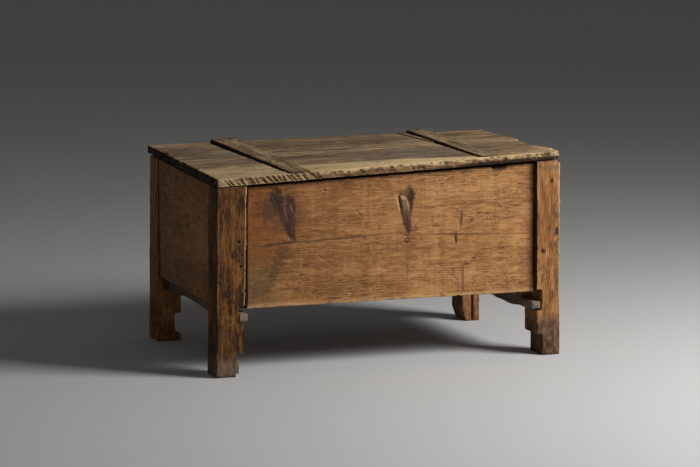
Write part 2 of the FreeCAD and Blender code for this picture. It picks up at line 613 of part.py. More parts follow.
# Rails that carry the bottom boards
def make_rail(side):
    """A hewn rail with squared ends in the notches of the posts and a bellied underside."""
    name = SIDE_NAME[side]
    body = new_body(f"rail_{name}")
    tip = f"({HALF_DEEP} - dim.tongue_back)"
    shoulder = f"({tip} - dim.tongue_long)"
    clear = f"({HALF_DEEP} - dim.post_deep - dim.rail_clear)"
    sill = f"({NOTCH_LOW[side]} + dim.snug)"
    low = TONGUE_LOW[side]
    high = f"({low} + dim.tongue_tall)"
    corners = [(f"-{tip}", low), (f"-{shoulder}", low), (f"-{shoulder}", sill), (f"-{clear}", sill)]
    corners += [("-dim.belly_front_at", f"{RAIL_TOP} - dim.belly_front_{name}")]
    corners += [("dim.belly_rear_at", f"{RAIL_TOP} - dim.belly_rear_{name}")]
    corners += [(clear, sill), (shoulder, sill), (shoulder, low), (tip, low), (tip, high), (clear, high)]
    corners += [(clear, RAIL_TOP), (f"-{clear}", RAIL_TOP), (f"-{clear}", high), (f"-{tip}", high)]
    start, stop = sorted_span(rail_outer(side), rail_inner(side))
    pad(body, "YZ_Plane", start, corners, f"({stop}) - ({start})")
    for end in (FRONT, REAR):
        edge = inward(side, f"{post_wide(side, end)} - dim.notch_deep + dim.snug")
        low_x, high_x = sorted_span(inward(side, "0"), edge)
        low_y, high_y = sorted_span(f"{end} * {clear}", f"{end} * ({HALF_DEEP} + dim.past)")
        slot(body, (low_x, low_y, "0"), (high_x, high_y, LID_CEILING))
    for across, along in nail_spots(side):
        bore(body, "z", (across, along, f"{NAIL_START} - dim.snug"), "dim.nail_thick", NAIL_LONG)


make_rail(LEFT)
make_rail(RIGHT)


# Bottom boards
def make_bottom_board(index, label):
    """A board across the rails, cut back round the posts where it meets them."""
    body = new_body(label)
    reach = f"({END_INNER} - dim.snug)"
    low = bottom_low(index)
    high = f"({low} + {BOTTOM_WIDE})"
    corners = [(f"-{reach}", low), (reach, low), (reach, high), (f"-{reach}", high)]
    pad(body, "XY_Plane", "dim.floor_high", corners, "dim.bottom_thick")
    end = {0: FRONT, BOARDS - 1: REAR}.get(index)
    for side in (LEFT, RIGHT) if end else ():
        far = f"{post_wide(side, end)} + dim.lean_{SIDE_NAME[side]} + dim.bottom_gap"
        low_x, high_x = sorted_span(inward(side, "0"), inward(side, far))
        low_y, high_y = sorted_span(f"{end} * ({HALF_DEEP})",
                                    f"{end} * ({HALF_DEEP} - dim.post_deep - dim.bottom_gap)")
        slot(body, (low_x, low_y, "0"), (high_x, high_y, LID_CEILING))
    for side in (LEFT, RIGHT):
        across, along = nail_spots(side)[index]
        bore(body, "z", (across, along, "0"), "dim.nail_thick", LID_CEILING)


for number, board_label in enumerate(BOTTOM_BOARDS):
    make_bottom_board(number, board_label)


# Battens, as the plan places of their edges
def batten_edges(side, end):
    """Left and right edge of a batten at its front or rear end."""
    name = f"{SIDE_NAME[side]}_{END_NAME[end]}"
    return sorted_span(inward(side, f"dim.batten_inner_{name}"), inward(side, f"dim.batten_outer_{name}"))


def batten_front(side):
    """Front end of a batten."""
    return f"({LID_FRONT} + dim.batten_short_{SIDE_NAME[side]})"


def batten_section(side, end, y, gap, proud):
    """Dovetail section of a batten, or of its trench with a gap all round."""
    points = []
    for x, out in zip(batten_edges(side, end), (-1, 1)):
        edge = f"({x} + {out} * {gap})"
        root = f"({edge} + {out} * dim.batten_flare)"
        low = f"{lid_top(x, y)} - dim.batten_in - {gap}"
        points.append([(root, low), (edge, lid_top(x, y)), (edge, f"{lid_top(x, y)} + {proud}")])
    return points[0] + points[1][::-1]


def cut_trench(body, side):
    """Tapered dovetail trench for a batten, open at the lid's rear edge."""
    front = f"({batten_front(side)} - dim.snug)"
    rear = f"({LID_REAR} + dim.past)"
    ends = [(f"-({front})", batten_section(side, FRONT, front, "dim.snug", "dim.lid_thick")),
            (f"-({rear})", batten_section(side, REAR, rear, "dim.snug", "dim.lid_thick"))]
    loft(body, "Subtractive", "XZ_Plane", ends)


def wedge_section(y, wide, gap, proud):
    """Section of the wedge beside the right batten, undercut along the batten's dovetail."""
    front, rear = batten_front(RIGHT), LID_REAR
    taper = "(dim.batten_inner_right_rear - dim.batten_inner_right_front)"
    far_in = f"dim.batten_inner_right_front + {taper} * (({y}) - {front}) / ({rear} - {front})"
    edge = f"({inward(RIGHT, far_in)})"
    right = f"({edge} - dim.snug + {gap})"
    left = f"({edge} - dim.snug - {wide} - {gap})"
    root = f"({right} - dim.batten_flare)"
    face = lid_top(edge, y)
    low = f"({face} - dim.batten_in - {gap})"
    high = f"({face} + {proud})"
    return [(left, low), (left, high), (right, high), (right, face), (root, low)]


WEDGE_FRONT = f"({LID_REAR} - dim.wedge_long)"


def hinge_x(side):
    """Middle of a hinge, under its batten."""
    return f"({inward(side, f'dim.hinge_at_{SIDE_NAME[side]}')})"


def stem_hole(body, side):
    """Hole for the stem of a lid loop."""
    bore(body, "z", (hinge_x(side), HINGE_Y, HINGE_Z), "dim.stem_thick", LID_CEILING)


# Lid boards
def make_lid_board(label, low_y, high_y):
    """A board in wind, ruled between its two ends, with a trench for each batten."""
    body = new_body(label)
    ends = []
    for x in (LID_LEFT, LID_RIGHT):
        corners = [(low_y, lid_under(x, low_y)), (high_y, lid_under(x, high_y))]
        corners += [(high_y, lid_top(x, high_y)), (low_y, lid_top(x, low_y))]
        ends.append((x, corners))
    loft(body, "Additive", "YZ_Plane", ends)
    for side in (LEFT, RIGHT):
        cut_trench(body, side)
    return body


def trim_right_end(body, low_y, high_y, marks):
    """Saws the right end of a lid board along marks given as distances past the posts and places."""
    edge = [(f"({HALF_WIDE} + {past})", y) for past, y in marks]
    outside = f"({LID_RIGHT} + dim.past)"
    saw_plan(body, edge + [(outside, f"{high_y} + dim.past"), (outside, f"{low_y} - dim.past")])


JOINT_FRONT = "(dim.joint_at - dim.joint_gap / 2)"
JOINT_REAR = "(dim.joint_at + dim.joint_gap / 2)"
front_lid = make_lid_board("lid_board_front", LID_FRONT, JOINT_FRONT)
rear_lid = make_lid_board("lid_board_rear", JOINT_REAR, LID_REAR)
trim_right_end(front_lid, LID_FRONT, JOINT_FRONT, [
    ("dim.front_end_corner", f"{LID_FRONT} - dim.past"),
    ("dim.front_end_corner", LID_FRONT),
    ("dim.front_end_bump", "-(dim.bump_at + dim.bump_long)"),
    ("dim.front_end_bump", "-dim.bump_at"),
    ("dim.front_end_dip", "-dim.dip_at"),
    ("dim.front_end_joint", JOINT_FRONT),
    ("dim.front_end_joint", f"{JOINT_FRONT} + dim.past")])
trim_right_end(rear_lid, JOINT_REAR, LID_REAR, [
    ("dim.rear_end_joint", f"{JOINT_REAR} - dim.past"),
    ("dim.rear_end_joint", JOINT_REAR),
    ("dim.rear_end_long", LID_REAR),
    ("dim.rear_end_long", f"{LID_REAR} + dim.past")])
thin_end = wedge_section(WEDGE_FRONT, "dim.wedge_thin", "dim.snug", "dim.lid_thick")
wide_end = wedge_section(LID_REAR, "dim.wedge_wide", "dim.snug", "dim.lid_thick")
loft(rear_lid, "Subtractive", "XZ_Plane",
     [(f"-({WEDGE_FRONT} - dim.snug)", thin_end), (f"-({LID_REAR} + dim.past)", wide_end)])
for which in (LEFT, RIGHT):
    stem_hole(rear_lid, which)


def make_batten(side):
    """A tapered batten that slides into its trench from the rear."""
    body = new_body(f"lid_batten_{SIDE_NAME[side]}")
    front = batten_front(side)
    ends = [(f"-({front})", batten_section(side, FRONT, front, "0", "dim.batten_proud_front")),
            (f"-({LID_REAR})", batten_section(side, REAR, LID_REAR, "0", "dim.batten_proud_rear"))]
    loft(body, "Additive", "XZ_Plane", ends)
    stem_hole(body, side)


make_batten(LEFT)
make_batten(RIGHT)

# Wedge driven in beside the right batten
wedge = new_body("lid_wedge")
loft(wedge, "Additive", "XZ_Plane", [
    (f"-({WEDGE_FRONT})", wedge_section(WEDGE_FRONT, "dim.wedge_thin", "0", "dim.wedge_proud")),
    (f"-({LID_REAR})", wedge_section(LID_REAR, "dim.wedge_wide", "0", "dim.wedge_proud"))])


# Hinges of linked wire, an eye on the back board and a loop on the lid
def make_eye(side):
    """An eye whose stem runs through the back board and is clenched inside the chest."""
    x = hinge_x(side)
    hoop = ring("z", (x, f"{HINGE_Y} - dim.eye_ring", HINGE_Z), "dim.eye_ring")
    prong_y = f"({BACK_INNER} - dim.snug - dim.prong_thick / 2)"
    stop = f"{HINGE_Y} - 2 * dim.eye_ring"
    start = f"({prong_y} - dim.prong_thick / 2 - dim.stem_past)"
    stem = bar("y", (x, start, HINGE_Z), "dim.stem_thick", f"{stop} - {start}")
    prongs = bar("x", (f"{x} - dim.prong_long", prong_y, HINGE_Z), "dim.prong_thick", "2 * dim.prong_long")
    joined(f"hinge_eye_{SIDE_NAME[side]}", [hoop, stem, prongs])
    inside = f"{BACK_INNER} - dim.past"
    bore(back, "y", (x, inside, HINGE_Z), "dim.stem_thick", "dim.back_thick + 2 * dim.past")


def make_loop(side):
    """A loop round the eye's bar whose stem runs up through lid and batten and is clenched on top."""
    x = hinge_x(side)
    left, right = batten_edges(side, REAR)
    hoop = ring("x", (x, HINGE_Y, HINGE_Z), "dim.loop_ring")
    proud = f"(max({lid_top(left, HINGE_Y)}; {lid_top(right, HINGE_Y)}) + dim.batten_proud_rear)"
    prong_z = f"({proud} + dim.snug + dim.prong_thick / 2)"
    start = f"({HINGE_Z} + dim.loop_ring)"
    length = f"{prong_z} + dim.prong_thick / 2 + dim.stem_past - {start}"
    stem = bar("z", (x, HINGE_Y, start), "dim.stem_thick", length)
    prongs = bar("x", (f"{x} - dim.prong_long", HINGE_Y, prong_z), "dim.prong_thick", "2 * dim.prong_long")
    joined(f"hinge_loop_{SIDE_NAME[side]}", [hoop, stem, prongs])


for which in (LEFT, RIGHT):
    make_eye(which)
    make_loop(which)

# Peg and nail groups
for end_way, group_label in ((FRONT, "pegs_front"), (REAR, "pegs_back")):
    spots = [spot for which in (LEFT, RIGHT) for spot in face_pegs(which, end_way)]
    group(group_label, [bar("y", start, "dim.peg_thick", length) for start, length in spots])
for which in (LEFT, RIGHT):
    spots = [spot for end_way in (FRONT, REAR) for spot in end_pegs(which, end_way)]
    group(f"pegs_{SIDE_NAME[which]}", [bar("x", start, "dim.peg_thick", length) for start, length in spots])
spots = [spot for which in (LEFT, RIGHT) for spot in nail_spots(which)]
group("bottom_nails", [bar("z", (x, y, NAIL_START), "dim.nail_thick", NAIL_LONG) for x, y in spots])

doc.recompute()

# Test of every object and the files of the pieces
for item in doc.Objects:
    if "Invalid" in item.State or "Error" in item.State:
        raise RuntimeError(f"{item.Label} failed: {item.State}")
for node in nodes:
    if node.Shape.isNull() or not node.Shape.isValid():
        raise RuntimeError(f"{node.Label} has no valid shape")
os.makedirs("parts", exist_ok=True)
for node in nodes:
    node.Shape.exportStep(f"parts/{node.Label}.step")
    print(node.Label, len(node.Shape.Solids), round(node.Shape.Volume / 1000, 1))
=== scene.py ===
"""A rustic post-and-board chest on carved feet, with a plank lid hung on linked wire hinges."""
import logging
import math
from collections.abc import Callable, Iterator, Sequence
from contextlib import contextmanager
from dataclasses import dataclass, field
from enum import Enum

import bmesh
import bpy
import numpy as np
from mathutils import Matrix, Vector


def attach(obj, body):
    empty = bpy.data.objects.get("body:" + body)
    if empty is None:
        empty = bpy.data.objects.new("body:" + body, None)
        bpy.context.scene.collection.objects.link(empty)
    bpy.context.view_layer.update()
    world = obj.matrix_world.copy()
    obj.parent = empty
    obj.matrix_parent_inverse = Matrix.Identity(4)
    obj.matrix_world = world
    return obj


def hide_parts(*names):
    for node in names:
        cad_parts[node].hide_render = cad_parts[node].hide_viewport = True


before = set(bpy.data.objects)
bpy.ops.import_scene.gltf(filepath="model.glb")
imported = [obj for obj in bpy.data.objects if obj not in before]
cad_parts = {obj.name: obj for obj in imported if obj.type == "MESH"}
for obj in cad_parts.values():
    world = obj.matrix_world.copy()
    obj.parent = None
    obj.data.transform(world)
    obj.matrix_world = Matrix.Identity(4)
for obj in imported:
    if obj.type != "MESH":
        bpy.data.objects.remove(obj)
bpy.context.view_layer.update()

log = logging.getLogger("chest")

# Sizes in metres, before the shift that sets the chest in the middle of the frame
SHIFT = Vector((-0.0235, -0.0065, 0.0))
HALF_WIDE = 0.55
HALF_DEEP = 0.36
POST_DEEP = 0.094
FLOOR_HIGH = 0.206
LID_FRONT = -0.363
LID_REAR = 0.376
LID_LEFT = -0.544
LID_THICK = 0.026
POST_LEANS = (0.008, 0.005)
WEDGE_FRONT = 0.086
TRENCH_TALL = 0.03
SNAP = 1e-5
OVERRUN = 0.01
RUB_LEVELS = 12
HASH_STEPS = (73856093, 19349663, 83492791)

Colour = tuple[float, float, float]
Spot = tuple[float, float, float]
Pair = tuple[float, float]
Field = Callable[[np.ndarray], np.ndarray]
Solid = bpy.types.Object
Socket = bpy.types.NodeSocket
Sockets = bpy.types.bpy_prop_collection


class Side(Enum):
    """Left or right of the chest, as the sign of X."""

    LEFT = -1
    RIGHT = 1


class End(Enum):
    """Front or rear of the chest, as the sign of Y."""

    FRONT = -1
    REAR = 1


class Grain(Enum):
    """Direction of the grain, as the turn that lays it along X."""

    ALONG_X = (0.0, 0.0, 0.0)
    ALONG_Y = (0.0, 0.0, -math.pi / 2)
    ALONG_Z = (0.0, math.pi / 2, 0.0)


class Foot(Enum):
    """How the inner edge of a foot is cut."""

    PLAIN = "plain"
    TOE = "toe"
    SPLIT_TOE = "split toe"
    WORN = "worn"


@dataclass(frozen=True)
class LidPlane:
    """The wound plane on which the lid lies.

    Attributes give the height of its underside over the four outer corners of the posts.
    """

    front_left: float = 0.560
    front_right: float = 0.602
    rear_left: float = 0.584
    rear_right: float = 0.593

    def under(self, x: float, y: float) -> float:
        """Height of the underside over a point of the plan."""
        along = (x + HALF_WIDE) / (2 * HALF_WIDE)
        behind = (y + HALF_DEEP) / (2 * HALF_DEEP)
        front = self.front_left + (self.front_right - self.front_left) * along
        rear = self.rear_left + (self.rear_right - self.rear_left) * along
        return front + (rear - front) * behind

    def top(self, x: float, y: float) -> float:
        """Height of the upper face over a point of the plan."""
        return self.under(x, y) + LID_THICK

    def on(self, x: float, y: float) -> Spot:
        """The point of the upper face over a point of the plan."""
        return x, y, self.top(x, y)


LID = LidPlane()


# Work at the bench
def take(obj: Solid) -> None:
    """Makes one object the only selected and active one.

    Args:
        obj: The object to take in hand.
    """
    bpy.ops.object.select_all(action="DESELECT")
    obj.select_set(True)
    bpy.context.view_layer.objects.active = obj


def shape(tool: Callable, name: str, scale: Sequence[float] = (1.0, 1.0, 1.0), **sizes: object) -> Solid:
    """Makes a plain shape with its place, turn and size settled in its mesh.

    Args:
        tool: What makes the shape.
        name: Name of the shape.
        scale: Stretch along X, Y and Z.
        sizes: Sizes, place and turn that the tool asks for.

    Returns:
        The shape.
    """
    bpy.ops.object.select_all(action="DESELECT")
    tool(**sizes)
    obj = bpy.context.active_object
    obj.name = name
    obj.scale = scale
    bpy.ops.object.transform_apply(location=True, rotation=True, scale=True)
    return obj


def block(name: str, low: Spot, high: Spot) -> Solid:
    """Saws a squared block between its lowest and its highest corner."""
    centre = [(a + b) / 2 for a, b in zip(low, high)]
    return shape(bpy.ops.mesh.primitive_cube_add, name, [b - a for a, b in zip(low, high)], size=1.0, location=centre)


@contextmanager
def editing(obj: Solid, kind: str = "VERT") -> Iterator[bmesh.types.BMesh]:
    """Opens a piece in edit mode with nothing selected.

    Args:
        obj: The piece.
        kind: What is selected, VERT, EDGE or FACE.

    Returns:
        The open mesh, for picking by place.
    """
    take(obj)
    bpy.ops.object.mode_set(mode="EDIT")
    bpy.ops.mesh.select_mode(type=kind)
    bpy.ops.mesh.select_all(action="DESELECT")
    yield bmesh.from_edit_mesh(obj.data)
    bpy.ops.object.mode_set(mode="OBJECT")


def pull(obj: Solid, where: Callable[[Vector], bool], by: Spot) -> None:
    """Moves the corners that a test picks.

    Args:
        obj: The piece.
        where: Test of a corner's place.
        by: The way to move.
    """
    with editing(obj) as mesh:
        for vert in mesh.verts:
            vert.select_set(where(vert.co))
        mesh.select_flush(True)
        bmesh.update_edit_mesh(obj.data)
        bpy.ops.transform.translate(value=by)


def at(axis: int, place: float, above: float = -1.0, below: float = 1.0) -> Callable[[Vector], bool]:
    """A test for the corners at a place on an axis, between two heights."""
    return lambda co: above < co.z < below and abs(co[axis] - place) < SNAP


def score(obj: Solid, axis: int, places: Sequence[float]) -> None:
    """Marks a piece across at several places, so that it can follow a curve.

    Args:
        obj: The piece.
        axis: 0, 1 or 2 for X, Y or Z.
        places: Where the marks lie on that axis.
    """
    for place in places:
        spot, normal = [0.0, 0.0, 0.0], [0.0, 0.0, 0.0]
        spot[axis], normal[axis] = place, 1.0
        with editing(obj):
            bpy.ops.mesh.select_all(action="SELECT")
            bpy.ops.mesh.bisect(plane_co=spot, plane_no=normal)


def work(obj: Solid, kind: str, **settings: object) -> None:
    """Puts one modifier on a piece and applies it.

    Args:
        obj: The piece.
        kind: The modifier's type.
        settings: Its options by name.
    """
    tool = obj.modifiers.new(kind.lower(), kind)
    for name, setting in settings.items():
        setattr(tool, name, setting)
    take(obj)
    bpy.ops.object.modifier_apply(modifier=tool.name)


def cut(obj: Solid, *cutters: Solid) -> None:
    """Cuts the shape of each cutter out of a piece and throws the cutter away.

    Args:
        obj: The piece.
        cutters: Closed shapes to cut with.
    """
    for cutter in cutters:
        work(obj, "BOOLEAN", operation="DIFFERENCE", solver="EXACT", object=cutter)
        bpy.data.objects.remove(cutter)


def unite(pieces: Sequence[Solid], name: str) -> Solid:
    """Joins several shapes into one object.

    Args:
        pieces: The shapes.
        name: Name of the whole.

    Returns:
        The joined object.
    """
    take(pieces[0])
    for piece in pieces[1:]:
        piece.select_set(True)
    if len(pieces) > 1:
        bpy.ops.object.join()
    pieces[0].name = name
    return pieces[0]


def read_points(obj: Solid, facing: bool = False) -> np.ndarray:
    """Reads the points of a piece, or the directions in which they face.

    Args:
        obj: The piece.
        facing: Whether the directions are wanted.

    Returns:
        Rows of X, Y and Z.
    """
    flat = np.empty(len(obj.data.vertices) * 3)
    source, label = (obj.data.vertex_normals, "vector") if facing else (obj.data.vertices, "co")
    source.foreach_get(label, flat)
    return flat.reshape(-1, 3)


def shape_points(obj: Solid, place: Field) -> None:
    """Lays every point of a piece at the place that a rule gives it."""
    obj.data.vertices.foreach_set("co", place(read_points(obj)).ravel())
    obj.data.update()


def mottle(points: np.ndarray, scale: Sequence[float], seed: int) -> np.ndarray:
    """Smooth uneven values from 0 to 1 over space.

    Args:
        points: Where they are wanted.
        scale: Lumps to the metre along X, Y and Z.
        seed: Picks one of many patterns.

    Returns:
        One value for each point.
    """
    grid = points * np.array(scale)
    cell = np.floor(grid).astype(np.int64)
    part = grid - cell
    part = part * part * (3 - 2 * part)
    total = np.zeros(len(points))
    for corner in np.ndindex(2, 2, 2):
        key = (cell + np.array(corner)) @ np.array(HASH_STEPS) + seed * 2654435
        key = (key ^ (key >> 13)) * 1274126177 & 0x7FFFFFFF
        chance = ((key ^ (key >> 16)) & 0xFFFF) / 65535.0
        share = np.where(np.array(corner), part, 1 - part).prod(axis=1)
        total += share * chance
    return total


def unit(values: np.ndarray) -> np.ndarray:
    """Values kept from 0 to 1."""
    return np.clip(values, 0, 1)


def inward(side: Side, distance: float) -> float:
    """X at a distance in from the outer face of a side's posts."""
    return side.value * (HALF_WIDE - distance)


def side_span(side: Side, near: float, far: float) -> Pair:
    """Two distances in from a side's outer face, as a lower and a higher X."""
    low, high = sorted((inward(side, near), inward(side, far)))
    return low, high


@dataclass(frozen=True)
class Gouge:
    """A cut, dent or split hacked into a piece along a line.

    Attributes:
        start: One end of the line.
        stop: Other end of the line.
        width: Half width of the cut.
        depth: Depth of the cut.
    """

    start: Spot
    stop: Spot
    width: float
    depth: float

    def bite(self, points: np.ndarray) -> np.ndarray:
        """Depth of the cut.

        Args:
            points: Points of the piece.

        Returns:
            One depth for each point.
        """
        start, stop = np.array(self.start), np.array(self.stop)
        line = stop - start
        along = unit((points - start) @ line / (line @ line))
        away = np.linalg.norm(points - start - along[:, None] * line, axis=1)
        return self.depth * unit(1 - (away / self.width) ** 2)


def stroke(spot: Spot, way: Spot, length: float, width: float, depth: float) -> Gouge:
    """A gouge from the middle of its line, its direction and its length."""
    half = Vector(way).normalized() * (length / 2)
    return Gouge(tuple(Vector(spot) - half), tuple(Vector(spot) + half), width, depth)


def nibbles(start: Spot, stop: Spot, count: int, seed: int, size: float, depth: float) -> list[Gouge]:
    """Small bites and bruises along an arris.

    Args:
        start: One end of the arris.
        stop: Other end of the arris.
        count: How many there are.
        seed: Picks their places.
        size: Their usual half width.
        depth: Their greatest depth.

    Returns:
        The bites.
    """
    chance = np.random.default_rng(seed)
    first, line = np.array(start), np.subtract(stop, start)
    way = line / np.linalg.norm(line)
    found = []
    for share in chance.uniform(0, 1, count):
        spot = first + line * share + chance.normal(0, 0.0012, 3)
        slant = way + chance.normal(0, 0.35, 3)
        found.append(stroke(tuple(spot), tuple(slant), chance.uniform(0.003, 0.03),
                            size * chance.uniform(0.5, 1.3), depth * chance.uniform(0.2, 1.0) ** 1.5))
    return found


@dataclass(frozen=True)
class Weather:
    """How age has worked on a piece of timber.

    Attributes:
        voxel: Fineness of the worn surface.
        rounding: How far the arrises are worn round.
        dent: Depth of the broad unevenness.
        ridge: Depth of the hollows between raised grain.
        grain: Direction of the grain.
        seed: Picks one of many patterns.
    """

    voxel: float = 0.0032
    rounding: int = 10
    dent: float = 0.0012
    ridge: float = 0.0005
    grain: Grain = Grain.ALONG_X
    seed: int = 1

    def grain_scale(self, across: float, along: float) -> list[float]:
        """Lumps to the metre along X, Y and Z for a pattern drawn out along the grain."""
        return [along if grain is self.grain else across for grain in Grain]

    def wear(self, obj: Solid, piece: "Piece") -> None:
        """Rounds the arrises unevenly, raises the grain, cuts the gouges and notes where it is worn and dirty, where
        it is painted pale as a highlight and where it is painted dark as shade.

        Args:
            obj: The shape, as it left the saw.
            piece: The piece whose gouges, wear, dirt, painted highlights and painted shade it takes.
        """
        work(obj, "REMESH", mode="VOXEL", voxel_size=self.voxel, use_smooth_shade=True)
        before = read_points(obj)
        rubbed = 0.15 + 0.75 * mottle(before, [14.0] * 3, self.seed) ** 1.5
        rubbed += 0.25 * (mottle(before, [60.0] * 3, self.seed + 5) - 0.5)
        self.rub(obj, np.clip(rubbed + piece.bias(before), 0.05, 1.0))
        worn = read_points(obj)
        normals = read_points(obj, facing=True)
        lost = np.einsum("ij,ij->i", before - worn, normals)
        coarse = mottle(worn, self.grain_scale(22.0, 5.0), self.seed + 1)
        fine = mottle(worn, self.grain_scale(170.0, 7.0), self.seed + 2)
        depth = self.dent * coarse + self.ridge * fine
        bites = np.zeros(len(worn))
        ragged = 0.6 + 0.8 * mottle(worn, [130.0] * 3, self.seed + 3)
        for gouge in piece.gouges:
            bites = np.maximum(bites, gouge.bite(worn) * ragged)
        shape_points(obj, lambda points: points - normals * (depth + bites)[:, None])
        # soil holds old dirt and painted shade, and its concave term paints shade into hollows, inner corners and
        # rebates; polish holds pale wear and painted highlights.
        notes = {"wear": lost / 0.0012, "cut": bites / 0.004, "polish_and_glint": piece.polish_and_glint(worn, normals),
                 "dirt_and_shade": piece.dirt_and_shade(worn, normals) + np.clip(-lost / 0.0008, 0, 0.6)}
        for name, values in notes.items():
            layer = obj.data.attributes.new(name, "FLOAT", "POINT")
            layer.data.foreach_set("value", unit(values).astype(np.float32))

    def rub(self, obj: Solid, weights: np.ndarray) -> None:
        """Smooths a piece by a weight at each point.

        Args:
            obj: The piece.
            weights: From 0, kept, to 1, rubbed most.
        """
        group = obj.vertex_groups.new(name="rubbed")
        levels = np.round(weights * RUB_LEVELS).astype(int)
        for level in np.unique(levels):
            group.add(np.flatnonzero(levels == level).tolist(), float(level) / RUB_LEVELS, "REPLACE")
        work(obj, "SMOOTH", factor=0.5, iterations=self.rounding, vertex_group="rubbed")
        obj.vertex_groups.clear()


# Finishes
class Nodes:
    """Lays out and joins the nodes of a material or a group."""

    def __init__(self, tree: bpy.types.NodeTree) -> None:
        """Starts on an empty tree."""
        self.tree = tree

    def add(self, kind: str, feeds: dict | None = None, **settings: object) -> bpy.types.Node:
        """Adds a node, sets its options and feeds its inputs.

        Args:
            kind: The node's type.
            feeds: Values or outputs for its inputs, by name or number.
            settings: Options by name.

        Returns:
            The node.
        """
        node = self.tree.nodes.new(kind)
        for name, setting in settings.items():
            setattr(node, name, setting)
        for key, value in (feeds or {}).items():
            self.feed(node.inputs[key], value)
        return node

    def feed(self, socket: Socket, value: object) -> None:
        """Joins an input to an output, or sets its value.

        Args:
            socket: The input.
            value: An output to join, or a plain value.
        """
        if isinstance(value, Socket):
            self.tree.links.new(value, socket)
        elif socket.type == "RGBA":
            socket.default_value = (*value, 1.0)
        else:
            socket.default_value = value

    def math(self, operation: str, first: object, second: object = 0.0, clamp: bool = False) -> Socket:
        """One sum of two values, kept from 0 to 1 if it is clamped."""
        return self.add("ShaderNodeMath", {0: first, 1: second}, operation=operation, use_clamp=clamp).outputs[0]

    def sum(self, value: object, times: object, more: object) -> Socket:
        """A value multiplied, and another added to it."""
        return self.add("ShaderNodeMath", {0: value, 1: times, 2: more}, operation="MULTIPLY_ADD").outputs[0]

    def off(self, value: object) -> Socket:
        """How far a value lies off the middle of 0 and 1."""
        return self.math("SUBTRACT", value, 0.5)

    def blend(self, share: object, first: object, second: object) -> Socket:
        """Two colours, with a share of the second over the first."""
        return self.add("ShaderNodeMix", {0: share, 6: first, 7: second}, data_type="RGBA").outputs[2]

    def cover(self, mask: object, strength: object, under: object, over: object) -> Socket:
        """A colour laid over another by a mask and a strength."""
        return self.blend(self.math("MULTIPLY", mask, strength), under, over)

    def noise(self, vector: object, scale: float, detail: float = 2.0, rough: float = 0.5) -> Socket:
        """Uneven values from 0 to 1 over space, with finer layers by their number and strength."""
        feeds = {"Vector": vector, "Scale": scale, "Detail": detail, "Roughness": rough}
        return self.add("ShaderNodeTexNoise", feeds).outputs["Fac"]

    def drawn(self, vector: object, along: float, across: float, detail: float, rough: float = 0.5) -> Socket:
        """Uneven values drawn out along X, by lumps to the metre along and across it."""
        return self.noise(self.lay(vector, scale=(along, across, across)), 1.0, detail, rough)

    def ramp(self, value: object, low: float, high: float) -> Socket:
        """A soft step from 0 at one value to 1 at another."""
        return self.add("ShaderNodeMapRange", {0: value, 1: low, 2: high}, interpolation_type="SMOOTHSTEP").outputs[0]

    def lay(self, vector: object, place: Spot = (0, 0, 0), turn: Spot = (0, 0, 0), scale: Spot = (1, 1, 1),
            kind: str = "POINT") -> Socket:
        """Coordinates moved, turned and stretched, in the order that the kind of mapping takes."""
        feeds = {"Vector": vector, "Location": place, "Rotation": turn, "Scale": scale}
        return self.add("ShaderNodeMapping", feeds, vector_type=kind).outputs[0]

    def split(self, vector: object) -> Sockets:
        """X, Y and Z of coordinates, by name."""
        return self.add("ShaderNodeSeparateXYZ", {0: vector}).outputs

    def length(self, vector: object) -> Socket:
        """How far coordinates lie from their origin."""
        return self.add("ShaderNodeVectorMath", {0: vector}, operation="LENGTH").outputs["Value"]

    def group(self, tree: bpy.types.NodeTree, **values: object) -> Sockets:
        """Outputs of a group whose inputs are fed by name."""
        return self.add("ShaderNodeGroup", values, node_tree=tree).outputs


def open_group(name: str, inputs: Sequence[str], outputs: Sequence[str]) -> tuple[Nodes, dict, bpy.types.Node]:
    """Starts a node group whose sockets are plain values, but for a Vector.

    Args:
        name: Name of the group.
        inputs: Names of the inputs.
        outputs: Names of the outputs.

    Returns:
        The nodes of the group, its inputs by name, and its output node.
    """
    tree = bpy.data.node_groups.new(name, "ShaderNodeTree")
    for way, labels in (("INPUT", inputs), ("OUTPUT", outputs)):
        for label in labels:
            kind = "NodeSocketVector" if label == "Vector" else "NodeSocketFloat"
            tree.interface.new_socket(name=label, in_out=way, socket_type=kind)
    nodes = Nodes(tree)
    entry = nodes.add("NodeGroupInput")
    leave = nodes.add("NodeGroupOutput")
    return nodes, {socket.name: socket for socket in entry.outputs if socket.name}, leave


